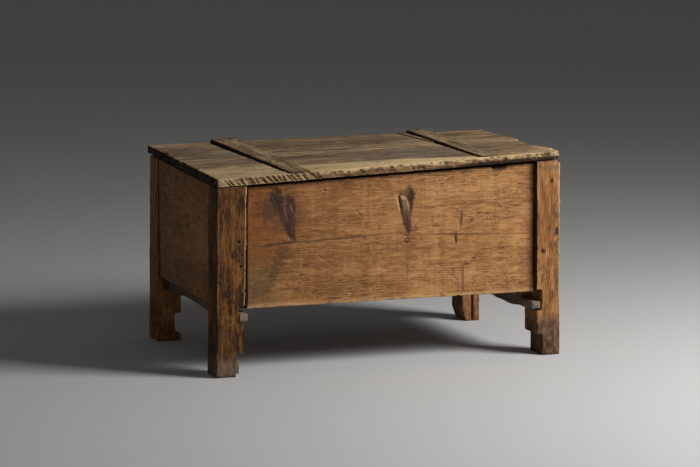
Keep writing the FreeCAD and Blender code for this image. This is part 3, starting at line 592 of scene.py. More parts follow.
def grain_group() -> bpy.types.NodeTree:
    """Grain of pine that runs along X.

    Returns:
        A group that gives growth lines, broken dashes, and uneven fibres, bands across the grain, clouds, streaks,
        broad streaks and dots.
    """
    plain = {"Fibre": (22.0, 165.0, 5.0, 0.75), "Band": (44.0, 4.0, 3.0, 0.6), "Cloud": (2.4, 13.0, 3.0, 0.52),
             "Streak": (11.0, 60.0, 3.0, 0.6), "Broad": (5.0, 30.0, 6.0, 0.72), "Stipple": (75.0, 120.0, 2.0, 0.6)}
    nodes, given, leave = open_group("pine_grain", ("Vector", "Lines", "Waver", "Swing"), ("Lines", "Dash", *plain))
    vector = given["Vector"]
    split = nodes.split(vector)
    level = nodes.sum(split["Y"], 0.55, split["Z"])
    level = nodes.sum(nodes.noise(nodes.lay(vector, scale=(0.22, 1.0, 1.0)), 4.2, 3.0, 0.55), given["Waver"], level)
    level = nodes.sum(nodes.drawn(vector, 2.5, 16.0, 2.0), 0.012, level)
    level = nodes.math("ADD", level, given["Swing"])
    turn = nodes.math("FRACT", nodes.math("MULTIPLY", level, given["Lines"]))
    late = nodes.math("MULTIPLY", nodes.ramp(turn, 0.55, 0.88), nodes.ramp(turn, 1.0, 0.92))
    fade = nodes.ramp(nodes.drawn(vector, 1.6, 8.0, 3.0, 0.6), 0.40, 0.60)
    nodes.feed(leave.inputs["Lines"], nodes.math("MULTIPLY", late, nodes.sum(fade, 0.85, 0.15)))
    dash = nodes.ramp(nodes.drawn(vector, 36.0, 230.0, 2.0, 0.55), 0.55, 0.66)
    patch = nodes.ramp(nodes.drawn(vector, 7.0, 16.0, 4.0, 0.65), 0.40, 0.60)
    nodes.feed(leave.inputs["Dash"], nodes.math("MULTIPLY", dash, patch))
    for label, settings in plain.items():
        nodes.feed(leave.inputs[label], nodes.drawn(vector, *settings))
    return nodes.tree


def scratch_group() -> bpy.types.NodeTree:
    """Short slanting scratches and ticks.

    Returns:
        A group that gives the cut of the scratches and the burr beside it.
    """
    nodes, given, leave = open_group("scratches", ("Vector", "Amount"), ("Scratch", "Burr"))
    kinds = ((-0.78, 20.0, 170.0), (-1.02, 30.0, 230.0), (-0.45, 36.0, 280.0), (0.62, 34.0, 270.0))
    for label, aside in (("Scratch", 0.0), ("Burr", 0.0022)):
        most = None
        for turn, along, across in kinds:
            laid = nodes.lay(given["Vector"], place=(0.0, 0.0, aside), turn=(0.0, turn, 0.0))
            stretched = nodes.lay(laid, scale=(along, along, across))
            cells = nodes.add("ShaderNodeTexVoronoi", {"Vector": stretched, "Scale": 1.0}, feature="F1")
            line = nodes.ramp(cells.outputs["Distance"], 0.30, 0.10)
            mask = nodes.math("MULTIPLY", line, nodes.ramp(nodes.noise(laid, 11.0, 2.0), 0.50, 0.62))
            most = nodes.math("MAXIMUM", most, mask) if most else mask
        nodes.feed(leave.inputs[label], nodes.math("MULTIPLY", most, given["Amount"], clamp=True))
    return nodes.tree


def grime_group() -> bpy.types.NodeTree:
    """Uneven dirt.

    Returns:
        A group that gives patches and small specks.
    """
    nodes, given, leave = open_group("grime", ("Vector",), ("Patch", "Speck"))
    nodes.feed(leave.inputs["Patch"], nodes.ramp(nodes.noise(given["Vector"], 9.0, 5.0, 0.65), 0.45, 0.75))
    nodes.feed(leave.inputs["Speck"], nodes.ramp(nodes.noise(given["Vector"], 160.0, 2.0, 0.5), 0.66, 0.78))
    return nodes.tree


GROUPS = {"grain": grain_group(), "scratch": scratch_group(), "grime": grime_group()}


def open_material(name: str) -> tuple[bpy.types.Material, Nodes, Socket]:
    """Starts a material.

    Args:
        name: Name of the material.

    Returns:
        The material, its nodes, and the coordinates of the piece.
    """
    stuff = bpy.data.materials.new(name)
    stuff.use_nodes = True
    stuff.node_tree.nodes.clear()
    nodes = Nodes(stuff.node_tree)
    return stuff, nodes, nodes.add("ShaderNodeTexCoord").outputs["Object"]


def close_material(nodes: Nodes, height: Socket, strength: float, distance: float, feeds: dict) -> None:
    """Ends a material with a surface in low relief.

    Args:
        nodes: Nodes of the material.
        height: Height of the relief.
        strength: How strongly the relief shows.
        distance: How deep the relief is.
        feeds: Values or outputs for the surface, by name.
    """
    bump = nodes.add("ShaderNodeBump", {"Strength": strength, "Distance": distance, "Height": height})
    shader = nodes.add("ShaderNodeBsdfPrincipled", {**feeds, "Normal": bump.outputs["Normal"]})
    nodes.add("ShaderNodeOutputMaterial", {"Surface": shader.outputs["BSDF"]})


@dataclass(frozen=True)
class Mark:
    """A knot, stain or worn patch where it lies on a piece.

    Attributes:
        centre: Its middle.
        reach: Its half sizes along its own axes.
        tone: Its colour.
        turn: Its turn about the chest's axes, in degrees.
        soft: Share of its size over which it fades.
        ragged: How uneven its edge is.
        strength: How strongly it covers.
    """

    centre: Spot
    reach: Spot
    tone: Colour
    turn: Spot = (0.0, 0.0, 0.0)
    soft: float = 0.5
    ragged: float = 0.5
    strength: float = 0.9

    def paint(self, nodes: Nodes, place: Socket, under: Socket, uneven: Socket) -> Socket:
        """Lays the mark over a colour.

        Args:
            nodes: Nodes of the material.
            place: Coordinates in the chest's frame.
            under: Colour below.
            uneven: Values that break up the edge.

        Returns:
            The colour with the mark on it.
        """
        local = nodes.lay(place, self.centre, tuple(math.radians(a) for a in self.turn), self.reach, "TEXTURE")
        edge = nodes.sum(uneven, self.ragged, nodes.length(local))
        rim = 1.0 + self.ragged / 2
        return nodes.cover(nodes.ramp(edge, rim, rim - max(self.soft, 0.02)), self.strength, under, self.tone)


def upright(y: float, *rows: tuple, deep: float | None = None) -> list[Mark]:
    """Marks on an upright face.

    Args:
        y: Y of the face.
        rows: X, Z, half width, half height, tone, lean, soft, ragged and strength of each mark.
        deep: Half depth of the marks, if it doesn't follow their width.

    Returns:
        The marks.
    """
    marks = []
    for x, z, wide, high, tone, *rest in rows:
        lean = rest[0] if rest else 0.0
        reach = (wide, deep or max(0.05, wide / 2), high)
        marks.append(Mark((x, y, z), reach, tone, (0.0, lean, 0.0), *rest[1:]))
    return marks


@dataclass(frozen=True)
class Knot:
    """A branch sawn along its length, a spike from a broad end to a tip in a front or back board.

    Attributes:
        tip: Its thin end.
        top: Its broad end.
        wide: Half width at the broad end.
        core: Colour of its heart.
        rim: Colour of its bark.
        halo: Colour of the stained wood round it.
        swing: How far the growth lines swing round it.
    """

    tip: Spot
    top: Spot
    wide: float
    core: Colour
    rim: Colour
    halo: Colour
    swing: float = 0.03

    def local(self, nodes: Nodes, place: Socket) -> Socket:
        """Coordinates along the spike, from 0 at the tip to 1 at the broad end.

        Args:
            nodes: Nodes of the material.
            place: Coordinates in the chest's frame.

        Returns:
            The knot's own coordinates.
        """
        way = Vector(self.top) - Vector(self.tip)
        turn = (0.0, math.atan2(way.x, way.z), 0.0)
        return nodes.lay(place, self.tip, turn, (self.wide, 0.1, way.length), "TEXTURE")

    def near(self, nodes: Nodes, place: Socket, reach: float) -> Socket:
        """How near a point lies to the knot, from 0 at some half widths round it to 1."""
        centred = nodes.lay(self.local(nodes, place), (0.0, 0.0, 0.62), scale=(reach, 1.0, 0.62), kind="TEXTURE")
        return nodes.ramp(nodes.length(centred), 1.15, 0.1)

    def paint(self, nodes: Nodes, place: Socket, under: Socket, uneven: Socket) -> Socket:
        """Lays the knot over a colour.

        Args:
            nodes: Nodes of the material.
            place: Coordinates in the chest's frame.
            under: Colour below.
            uneven: Values that break up the edge.

        Returns:
            The colour with the knot in it.
        """
        tone = nodes.cover(self.near(nodes, place, 2.1), 0.62, under, self.halo)
        split = nodes.split(self.local(nodes, place))
        along = split["Z"]
        half = nodes.sum(nodes.math("POWER", nodes.math("MAXIMUM", along, 0.0), 0.8), 0.86, 0.14)
        across = nodes.math("DIVIDE", split["X"], half)
        fan = nodes.add("ShaderNodeCombineXYZ", {"X": nodes.math("MULTIPLY", across, 6.5),
                                                 "Z": nodes.math("MULTIPLY", along, 1.6)})
        streak = nodes.noise(fan.outputs[0], 1.6, 4.0, 0.65)
        edge = nodes.sum(uneven, 0.4, nodes.math("ABSOLUTE", across))
        spike = nodes.math("MULTIPLY", nodes.ramp(edge, 1.25, 0.60), nodes.ramp(along, -0.05, 0.08))
        spike = nodes.math("MULTIPLY", spike, nodes.ramp(nodes.sum(uneven, 0.35, along), 1.16, 0.92))
        wood = nodes.blend(nodes.ramp(streak, 0.42, 0.62), self.rim, self.core)
        wood = nodes.cover(nodes.ramp(edge, 0.6, 1.1), 0.7, wood, self.rim)
        return nodes.cover(spike, 0.93, tone, wood)


@dataclass(frozen=True)
class PineFinish:
    """Old pine, from oiled and rubbed to bare and grey.

    Attributes:
        deep: Colour of the growth lines and the darkest wood.
        body: Main colour.
        pale: Colour of the palest wood.
        worn: Colour of rubbed arrises, also laid on arrises as a painted highlight.
        hacked: Colour inside cuts.
        dirt_shade_tone: Colour of old dirt, and of the shade painted into gaps, corners, recesses and under parts.
        lines: Growth lines to the metre.
        waver: How far the growth lines wander.
        line_show: How strongly the growth lines show.
        fibre_show: How strongly the fibres show.
        dash_show: How strongly the broken dark dashes show.
        band_show: How strongly the bands across the grain show.
        cloud_show: How strongly the soft clouds show.
        streak_show: How strongly the streaks show.
        broad_show: How strongly the broad streaks show.
        stipple_show: How strongly the small dots show.
        grime_show: How strongly the dirt shows.
        scratches: How many scratches show.
        wear_show: How strongly the rubbed arrises show.
        relief: Strength of the small relief.
        rough: Roughness of the surface.
    """

    deep: Colour
    body: Colour
    pale: Colour
    worn: Colour
    hacked: Colour
    dirt_shade_tone: Colour = (0.016, 0.010, 0.006)
    lines: float = 95.0
    waver: float = 0.10
    line_show: float = 0.5
    fibre_show: float = 0.5
    dash_show: float = 0.5
    band_show: float = 0.25
    cloud_show: float = 0.6
    streak_show: float = 0.2
    broad_show: float = 0.0
    stipple_show: float = 0.25
    grime_show: float = 0.35
    scratches: float = 0.6
    wear_show: float = 0.75
    relief: float = 0.5
    rough: float = 0.62

    def darker(self, share: float) -> Colour:
        """The darkest wood, darkened further."""
        return tuple(c * share for c in self.deep)

    def colour(self, nodes: Nodes, pine: Sockets, dirt: Sockets) -> Socket:
        """Colour of the plain wood.

        Args:
            nodes: Nodes of the material.
            pine: Outputs of the grain.
            dirt: Outputs of the grime.

        Returns:
            The colour.
        """
        tone = self.body
        layers = (
            (pine["Cloud"], 0.50, 0.68, self.cloud_show, self.pale),
            (pine["Cloud"], 0.50, 0.33, self.cloud_show, self.deep),
            (pine["Streak"], 0.50, 0.64, self.streak_show, self.pale),
            (pine["Streak"], 0.50, 0.36, self.streak_show, self.deep),
            (pine["Stipple"], 0.52, 0.66, self.stipple_show, self.pale),
            (pine["Stipple"], 0.48, 0.34, self.stipple_show, self.deep),
            (pine["Band"], 0.52, 0.68, self.band_show, self.pale),
            (pine["Band"], 0.48, 0.30, self.band_show, self.deep),
            (pine["Lines"], 0.0, 1.0, self.line_show, self.deep),
            (pine["Fibre"], 0.50, 0.34, self.fibre_show, self.deep),
            (pine["Fibre"], 0.52, 0.68, self.fibre_show, self.pale),
            (pine["Dash"], 0.1, 0.9, self.dash_show, self.darker(0.55)),
            (dirt["Patch"], 0.0, 1.0, self.grime_show, self.deep),
            (dirt["Speck"], 0.2, 0.9, self.grime_show, self.darker(0.5)),
            (pine["Broad"], 0.50, 0.63, self.broad_show, self.pale),
            (pine["Broad"], 0.50, 0.37, self.broad_show, self.deep),
        )
        for value, low, high, show, over in layers:
            tone = nodes.cover(nodes.ramp(value, low, high), show, tone, over)
        return tone

    def material(self, piece: "Piece") -> bpy.types.Material:
        """Makes the finish for one piece, with its grain, its marks, its wear and dirt, and its painted highlights
        and shade.

        Args:
            piece: The piece.

        Returns:
            The material.
        """
        stuff, nodes, coords = open_material(f"{piece.node}_wood")
        place = nodes.lay(coords, place=tuple(-SHIFT))
        seed = piece.weather.seed
        along = nodes.lay(place, place=(seed * 1.37, seed * 0.73, seed * 0.41), turn=piece.weather.grain.value)
        swing = 0.0
        for mark in piece.marks:
            if isinstance(mark, Knot):
                swing = nodes.sum(mark.near(nodes, place, 3.2), mark.swing, swing)
        pine = nodes.group(GROUPS["grain"], Vector=along, Lines=self.lines, Waver=self.waver, Swing=swing)
        scratch = nodes.group(GROUPS["scratch"], Vector=place, Amount=self.scratches)
        dirt = nodes.group(GROUPS["grime"], Vector=along)
        uneven = nodes.math("MULTIPLY", nodes.off(nodes.noise(place, 48.0, 5.0, 0.68)), 2.2)
        uneven = nodes.sum(nodes.off(pine["Fibre"]), 1.4, uneven)

        tone = self.colour(nodes, pine, dirt)
        for mark in piece.marks:
            tone = mark.paint(nodes, place, tone, uneven)
        tone = nodes.cover(scratch["Burr"], 0.16, tone, self.worn)
        tone = nodes.cover(scratch["Scratch"], 0.8, tone, self.darker(0.45))
        noted = {key: nodes.add("ShaderNodeAttribute", attribute_name=key).outputs["Fac"]
                 for key in ("wear", "cut", "polish_and_glint", "dirt_and_shade")}
        threads = nodes.sum(uneven, 0.9, nodes.sum(nodes.off(pine["Streak"]), 1.3, 0.85))
        threads = nodes.ramp(threads, 0.15, 0.85)
        # Pale wear and painted highlights, from the polish note.
        tone = nodes.cover(nodes.math("MULTIPLY", noted["polish_and_glint"], threads), 0.9, tone, self.worn)
        rubbed = nodes.math("MULTIPLY", nodes.ramp(noted["wear"], 0.2, 0.9), threads)
        tone = nodes.cover(rubbed, self.wear_show, tone, self.worn)
        tone = nodes.cover(nodes.ramp(noted["cut"], 0.15, 0.9), 0.85, tone, self.hacked)
        # Old dirt and painted shade, from the soil note, darken the wood towards filth.
        patchy = nodes.ramp(nodes.sum(noted["dirt_and_shade"], 0.55, nodes.math("MULTIPLY", uneven, 0.8)), 0.05, 0.42)
        tone = nodes.blend(nodes.math("MULTIPLY", noted["dirt_and_shade"], patchy, clamp=True), tone, self.dirt_shade_tone)

        relief = nodes.sum(pine["Fibre"], 0.6, nodes.math("MULTIPLY", pine["Lines"], -0.25))
        relief = nodes.sum(scratch["Scratch"], -0.22, nodes.sum(pine["Dash"], -0.5, relief))
        gloss = nodes.sum(noted["dirt_and_shade"], 0.12, nodes.sum(pine["Fibre"], -0.18, self.rough + 0.1))
        close_material(nodes, relief, self.relief, 0.0012,
                       {"Base Color": tone, "Roughness": gloss, "Specular IOR Level": 0.14})
        return stuff


@dataclass(frozen=True)
class IronFinish:
    """Forged iron, dark, with rust in its hollows.

    Attributes:
        dark: Colour of the black scale.
        rust: Colour of the rust.
        rough: Roughness of the surface.
    """

    dark: Colour = (0.045, 0.040, 0.036)
    rust: Colour = (0.14, 0.055, 0.022)
    rough: float = 0.6

    def material(self, piece: "Piece") -> bpy.types.Material:
        """Makes the finish for one piece.

        Args:
            piece: The piece.

        Returns:
            The material.
        """
        stuff, nodes, coords = open_material(f"{piece.node}_iron")
        patch = nodes.ramp(nodes.noise(coords, 120.0, 4.0, 0.65), 0.45, 0.68)
        pits = nodes.noise(coords, 520.0, 3.0, 0.6)
        metal = nodes.math("SUBTRACT", 0.85, nodes.math("MULTIPLY", patch, 0.7))
        gloss = nodes.math("ADD", nodes.math("MULTIPLY", pits, 0.3), self.rough - 0.1)
        tone = nodes.blend(patch, self.dark, self.rust)
        close_material(nodes, pits, 0.5, 0.0006, {"Base Color": tone, "Metallic": metal, "Roughness": gloss})
        return stuff


FACE_PINE = PineFinish(
    deep=(0.125, 0.047, 0.014), body=(0.324, 0.148, 0.050), pale=(0.492, 0.262, 0.108),
    worn=(0.58, 0.34, 0.15), hacked=(0.060, 0.027, 0.012), lines=150.0, waver=0.04, line_show=0.62, fibre_show=0.65,
    dash_show=0.80, band_show=0.28, cloud_show=0.42, streak_show=0.25, grime_show=0.28, scratches=1.0, relief=0.34,
    rough=0.56,
)
POST_PINE = PineFinish(
    deep=(0.080, 0.029, 0.010), body=(0.270, 0.112, 0.035), pale=(0.438, 0.218, 0.082),
    worn=(0.60, 0.38, 0.19), hacked=(0.030, 0.013, 0.007), lines=105.0, waver=0.09, line_show=0.40, fibre_show=0.70,
    dash_show=0.75, band_show=0.20, cloud_show=0.60, streak_show=0.55, grime_show=0.45, scratches=0.12, relief=0.35,
    rough=0.58,
)
# A darker copy of POST_PINE for the front left post: partly dirtier wood, partly painted shade where the light falls
# off to the left.
DIRTY_SHADED_PINE = PineFinish(
    deep=(0.020, 0.0075, 0.003), body=(0.092, 0.034, 0.0075), pale=(0.250, 0.101, 0.023),
    worn=(0.56, 0.34, 0.155), hacked=(0.010, 0.006, 0.004), lines=105.0, waver=0.09, line_show=0.45, fibre_show=0.75,
    dash_show=0.80, band_show=0.20, cloud_show=0.80, streak_show=0.75, grime_show=0.50, scratches=0.10, relief=0.4,
    rough=0.58,
)
LID_PINE = PineFinish(
    deep=(0.060, 0.034, 0.018), body=(0.240, 0.155, 0.082), pale=(0.450, 0.315, 0.175),
    worn=(0.58, 0.420, 0.215), hacked=(0.075, 0.038, 0.018), dirt_shade_tone=(0.016, 0.008, 0.004), lines=60.0, waver=0.13,
    line_show=0.40, fibre_show=0.75, dash_show=0.85, band_show=0.12, cloud_show=0.40, streak_show=0.45,
    broad_show=0.62, grime_show=0.30, scratches=0.15, wear_show=0.35, relief=0.9, rough=0.72,
)
GREY_PINE = PineFinish(
    deep=(0.060, 0.044, 0.032), body=(0.170, 0.126, 0.090), pale=(0.30, 0.235, 0.175),
    worn=(0.40, 0.33, 0.26), hacked=(0.035, 0.024, 0.017), line_show=0.5, fibre_show=0.7, grime_show=0.5,
    scratches=0.3, relief=0.7, rough=0.78,
)
PEG_WOOD = PineFinish(
    deep=(0.018, 0.008, 0.004), body=(0.048, 0.021, 0.010), pale=(0.085, 0.040, 0.019),
    worn=(0.060, 0.028, 0.014), hacked=(0.012, 0.006, 0.004), lines=260.0, line_show=0.5, grime_show=0.4,
    scratches=0.2,
)
IRON = IronFinish()


# Pieces
@dataclass
class Piece:
    """One piece of the chest that stands for a node of the frame.

    Attributes:
        node: Node that it stands for.
        body: Body that it moves with.
        slot: Material slot of the record; not used.
        weather: How age has worked on it.
        marks: Knots, stains and worn patches.
        gouges: Cuts, dents and splits.
    """

    node: str
    body: str = "carcass"
    slot: str = "post_pine"
    weather: Weather = field(default_factory=Weather)
    marks: list[Mark | Knot] = field(default_factory=list)
    gouges: list[Gouge] = field(default_factory=list)

    def rough_out(self) -> Solid:
        """Saws the piece to shape."""
        raise NotImplementedError

    def polish_and_glint(self, points: np.ndarray, normals: np.ndarray) -> np.ndarray:
        """Where hands have rubbed the piece pale, and where a highlight is painted pale on an arris."""
        return np.zeros(len(points))

    def dirt_and_shade(self, points: np.ndarray, normals: np.ndarray) -> np.ndarray:
        """Where old dirt has gathered on the piece, and where shade is painted dark into gaps, recesses and under
        parts.
        """
        return np.zeros(len(points))

    def bias(self, points: np.ndarray) -> np.ndarray:
        """Extra wear over the piece."""
        return np.zeros(len(points))

    def build(self) -> Solid:
        """Saws and wears the piece, and sets it in the chest's frame in place of its node.

        Returns:
            The finished piece.
        """
        obj = self.rough_out()
        self.weather.wear(obj, self)
        take(obj)
        obj.name = f"{self.node}_piece"
        obj.data.name = obj.name
        bpy.ops.transform.translate(value=tuple(SHIFT))
        bpy.ops.object.transform_apply(location=True, rotation=True, scale=True)
        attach(obj, self.body)
        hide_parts(self.node)
        log.info("%s: %d points", obj.name, len(obj.data.vertices))
        return obj

    def dress(self, obj: Solid, finish: PineFinish | IronFinish) -> None:
        """Gives the piece its finish."""
        obj.data.materials.clear()
        obj.data.materials.append(finish.material(self))

    def make(self, finish: PineFinish | IronFinish) -> None:
        """Builds the piece and dresses it."""
        self.dress(self.build(), finish)


@dataclass
class Post(Piece):
    """A corner post with its carved foot.

    Attributes:
        side: Side on which it stands.
        end: End on which it stands.
        wide: Width.
        lean: Inward lean at the top.
        foot: How the foot is cut.
        step: Height of the foot's step.
        step_in: Depth of the foot's step.
        toe: Height of the toe.
        notch: Lower and upper end of the rail's notch.
        boards: Front and rear face of the board let into it.
        board_low: Lower end of that board.
        swell: More width on the inner side at the top.
        rubbed: How pale its inner arris is painted, for wear and as a painted highlight.
        bright: How pale its outer arris is painted, for wear and as a painted highlight.
        muddy: How dirty its foot is.
    """

    side: Side = Side.LEFT
    end: End = End.FRONT
    wide: float = 0.086
    lean: float = 0.008
    foot: Foot = Foot.PLAIN
    step: float = 0.068
    step_in: float = 0.025
    toe: float = 0.0
    notch: Pair = (0.155, 0.208)
    boards: Pair = (-0.330, -0.316)
    board_low: float = 0.198
    swell: float = 0.0
    rubbed: float = 0.25
    bright: float = 0.2
    muddy: float = 0.5

    def box(self, near: float, far: float, low_y: float, high_y: float, low: float, high: float) -> Solid:
        """A cutter given by distances in from the outer face, by Y and by height."""
        left, right = side_span(self.side, near, far)
        return block("cutter", (left, low_y, low), (right, high_y, high))

    def rough_out(self) -> Solid:
        """Saws the post, cuts its foot, notch and grooves.

        Returns:
            The sawn post.
        """
        sign = self.side.value
        low_y, high_y = sorted((self.end.value * HALF_DEEP, self.end.value * (HALF_DEEP - POST_DEEP)))
        left, right = side_span(self.side, 0.0, self.wide)
        post = block(self.node, (left, low_y, 0.0), (right, high_y, 0.5))
        for x in (left, right):
            lean = self.lean + self.swell * (abs(x) < HALF_WIDE - self.wide / 2)
            top_x = x - sign * lean
            height = min(LID.under(top_x, low_y), LID.under(top_x, high_y)) - 0.0006
            pull(post, at(0, x, above=0.4), (-sign * lean, 0.0, height - 0.5))
        inner, beyond = self.wide - self.step_in, self.wide + 0.05
        through = (low_y - OVERRUN, high_y + OVERRUN)
        cutters = [self.box(self.wide - 0.015, beyond, *through, *self.notch),
                   self.box(inner, beyond, *through, self.toe if self.toe else -OVERRUN, self.step)]
        if self.foot is Foot.SPLIT_TOE:
            cutters.append(self.box(inner, beyond, through[0], low_y + 0.05, -OVERRUN, self.toe + 0.005))
        if self.foot is Foot.WORN:
            edge = inner - 0.0005
            cutters.append(self.box(edge, beyond, *through, -0.001, 0.039))
            pull(cutters[-1], at(0, inward(self.side, edge), below=0.0), (sign * 0.014, 0.0, 0.0))
        cutters.append(self.box(self.wide - 0.0575, beyond, self.boards[0] - 0.001, self.boards[1] + 0.001,
                                self.board_low - 0.001, 0.7))
        inside = HALF_DEEP - POST_DEEP
        groove = sorted((self.end.value * (inside + 0.0412), self.end.value * (inside - OVERRUN)))
        cutters.append(self.box(0.0125, 0.033, *groove, 0.204, 0.7))
        cut(post, *cutters)
        return post

    def polish_and_glint(self, points: np.ndarray, normals: np.ndarray) -> np.ndarray:
        """Pale along the inner and the outer arris: worn, and a painted highlight where the arris catches the light.
        """
        uneven = 0.45 + 1.0 * mottle(points, [40.0] * 3, 31)
        bright = np.zeros(len(points))
        for inset, lean, share in ((self.wide, self.lean + self.swell, self.rubbed), (0.0, self.lean, self.bright)):
            arris = self.side.value * (HALF_WIDE - inset - lean * points[:, 2] / 0.575)
            away = np.hypot(points[:, 0] - arris, points[:, 1] - self.end.value * HALF_DEEP)
            bright = np.maximum(bright, share * unit(1.5 - away / 0.0040))
        return bright * uneven * unit((points[:, 2] - 0.15) / 0.05)

    def dirt_and_shade(self, points: np.ndarray, normals: np.ndarray) -> np.ndarray:
        """Painted shade on the inner faces beside the board and close under the lid, and dirt on the foot."""
        x, y, z = points.T
        inner = unit((-self.side.value * normals[:, 0] - 0.6) / 0.3)
        beside = inner * (np.abs(y) < 0.3585) * (np.abs(y) > 0.31) * (z > 0.195)
        under = unit(1 - (LID.under(x, y) - z) / 0.010)
        spots = mottle(points, [150.0, 150.0, 60.0], 23) * 0.55 + mottle(points, [60.0, 60.0, 26.0], 29) * 0.6
        foot = unit((0.15 - z) / 0.06) * unit(0.30 + 0.75 * spots)
        # beside and under are painted shade; foot is dirt.
        return 0.92 * beside + 0.7 * under + self.muddy * foot

    def bruises(self, seed: int) -> list[Gouge]:
        """Bruises along the four arrises of the post and round its foot.

        Args:
            seed: Picks their places.

        Returns:
            The bruises.
        """
        bites = []
        front = self.end.value * HALF_DEEP
        for x in side_span(self.side, 0.0, self.wide):
            for y in (front, self.end.value * (HALF_DEEP - POST_DEEP)):
                seed += 7
                lean = -self.side.value * self.lean
                bites += nibbles((x, y, 0.0), (x + lean, y, 0.57), 16, seed, 0.0042, 0.0026)
        left, right = side_span(self.side, 0.0, self.wide)
        return bites + nibbles((left, front, 0.002), (right, front, 0.002), 8, seed + 3, 0.005, 0.004)


@dataclass
class FaceBoard(Piece):
    """The front or the back board, let into the posts at both ends.

    Attributes:
        left: Left end.
        right: Right end.
        faces: Front and rear face.
        lows: Lower edge at the left and right end.
        gap: Gap under the lid.
        shoulders: X of the left and right shoulder of the rebated ends, at the floor and at 0.6 m.
        rebate: Y to which the ends are cut back.
    """

    left: float = -0.520
    right: float = 0.528
    faces: Pair = (-0.340, -0.316)
    lows: Pair = (0.198, 0.195)
    gap: float = 0.0065
    shoulders: tuple[Pair, ...] = ()
    rebate: float = -0.330

    def rough_out(self) -> Solid:
        """Saws the board to its taper and cuts back its ends.

        Returns:
            The sawn board.
        """
        board = block(self.node, (self.left, self.faces[0], 0.25), (self.right, self.faces[1], 0.5))
        for x, low in zip((self.left, self.right), self.lows):
            high = min(LID.under(x, y) for y in self.faces) - self.gap
            pull(board, at(0, x, above=0.4), (0.0, 0.0, high - 0.5))
            pull(board, at(0, x, below=0.3), (0.0, 0.0, low - 0.25))
        for (foot, head), end in zip(self.shoulders, (-0.6, 0.6)):
            near, far = sorted((foot, end))
            waste = block("rebate", (near, -0.4, 0.0), (far, self.rebate, 0.6))
            pull(waste, at(0, foot, above=0.3), (head - foot, 0.0, 0.0))
            cut(board, waste)
        return board

    def dirt_and_shade(self, points: np.ndarray, normals: np.ndarray) -> np.ndarray:
        """Painted shade in the cut-back ends, which sit back in the posts' shadow, and close under the lid."""
        x, y, z = points.T
        lid = LID.under(x, y) - z
        ends = (y > self.rebate - 0.003) & (y < self.rebate + 0.004)
        # Both terms are painted shade: on the recessed ends and in a band under the lid.
        return np.where(ends & bool(self.shoulders), 0.95, 0.9 * unit(1 - (lid - self.gap) / 0.010))

    def polish_and_glint(self, points: np.ndarray, normals: np.ndarray) -> np.ndarray:
        """Rubbed pale along the lower arris."""
        low = np.interp(points[:, 0], (self.left, self.right), self.lows)
        return 0.5 * unit(1.4 - (points[:, 2] - low) / 0.012)


@dataclass
class EndBoard(Piece):
    """An end board, let into the front and rear posts.

    Attributes:
        side: Side that it closes.
    """

    side: Side = Side.LEFT

    def rough_out(self) -> Solid:
        """Saws the board to its taper and thins its tongues.

        Returns:
            The sawn board.
        """
        left, right = side_span(self.side, 0.010, 0.032)
        board = block(self.node, (left, -0.306, 0.205), (right, 0.306, 0.5))
        for y in (-0.306, 0.306):
            high = min(LID.under(x, y) for x in (left, right)) - 0.004
            pull(board, at(1, y, above=0.4), (0.0, 0.0, high - 0.5))
        near, far = side_span(self.side, 0.0, 0.0135)
        for low_y, high_y in ((-0.4, -0.2655), (0.2655, 0.4)):
            cut(board, block("tongue", (near, low_y, 0.1), (far, high_y, 0.7)))
        return board


@dataclass
class Rail(Piece):
    """A hewn rail under an end, with squared ends in the notches of the posts.

    Attributes:
        side: Side that it carries.
        post_wides: Width of the front and the rear post on that side.
        sill: Lower edge beside the posts.
        tongue: Lower and upper face of its squared ends.
        belly: Lower edge at the front and the rear of its belly.
    """

    side: Side = Side.LEFT
    post_wides: Pair = (0.086, 0.080)
    sill: float = 0.1556
    tongue: Pair = (0.163, 0.188)
    belly: Pair = (0.1627, 0.1697)

    def rough_out(self) -> Solid:
        """Hews the rail and squares its ends.

        Returns:
            The hewn rail.
        """
        inner = self.post_wides[0] + 0.015
        left, right = side_span(self.side, 0.036, inner)
        body = block(self.node, (left, -0.262, 0.17), (right, 0.262, 0.2055))
        score(body, 1, np.linspace(-0.24, 0.24, 13))
        marks = [-0.262, -0.190, 0.060, 0.262]
        lows = [self.sill, *self.belly, self.sill]

        def bend(points: np.ndarray) -> np.ndarray:
            """Hewn underside, soft between the marks."""
            under = points[:, 2] < 0.18
            points[under, 2] = np.interp(points[under, 1], marks, lows)
            return points

        shape_points(body, bend)
        parts = [body]
        for end, wide in zip(End, self.post_wides):
            left, right = side_span(self.side, wide - 0.0145, inner)
            for reach, low in ((0.358, self.tongue[0]), (0.328, self.sill)):
                near, far = sorted((end.value * reach, end.value * 0.255))
                parts.append(block("tongue", (left, near, low), (right, far, self.tongue[1])))
        return unite(parts, self.node)


@dataclass
class BottomBoard(Piece):
    """A bottom board across the rails.

    Attributes:
        low_y: Front edge.
        high_y: Rear edge.
        corner: End at which it is cut back round the posts, if it lies beside them.
        post_wides: Width of the left and the right post at that end.
    """

    low_y: float = -0.3157
    high_y: float = -0.1605
    corner: End | None = None
    post_wides: Pair = (0.086, 0.078)

    def rough_out(self) -> Solid:
        """Saws the board and cuts it back round the posts.

        Returns:
            The sawn board.
        """
        board = block(self.node, (-0.5177, self.low_y, FLOOR_HIGH), (0.5177, self.high_y, FLOOR_HIGH + 0.020))
        if self.corner:
            sign = self.corner.value
            for side, wide, lean in zip(Side, self.post_wides, POST_LEANS):
                left, right = side_span(side, 0.0, wide + lean + 0.002)
                near, far = sorted((sign * HALF_DEEP, sign * (HALF_DEEP - POST_DEEP - 0.002)))
                cut(board, block("corner", (left, near, 0.1), (right, far, 0.3)))
        return board


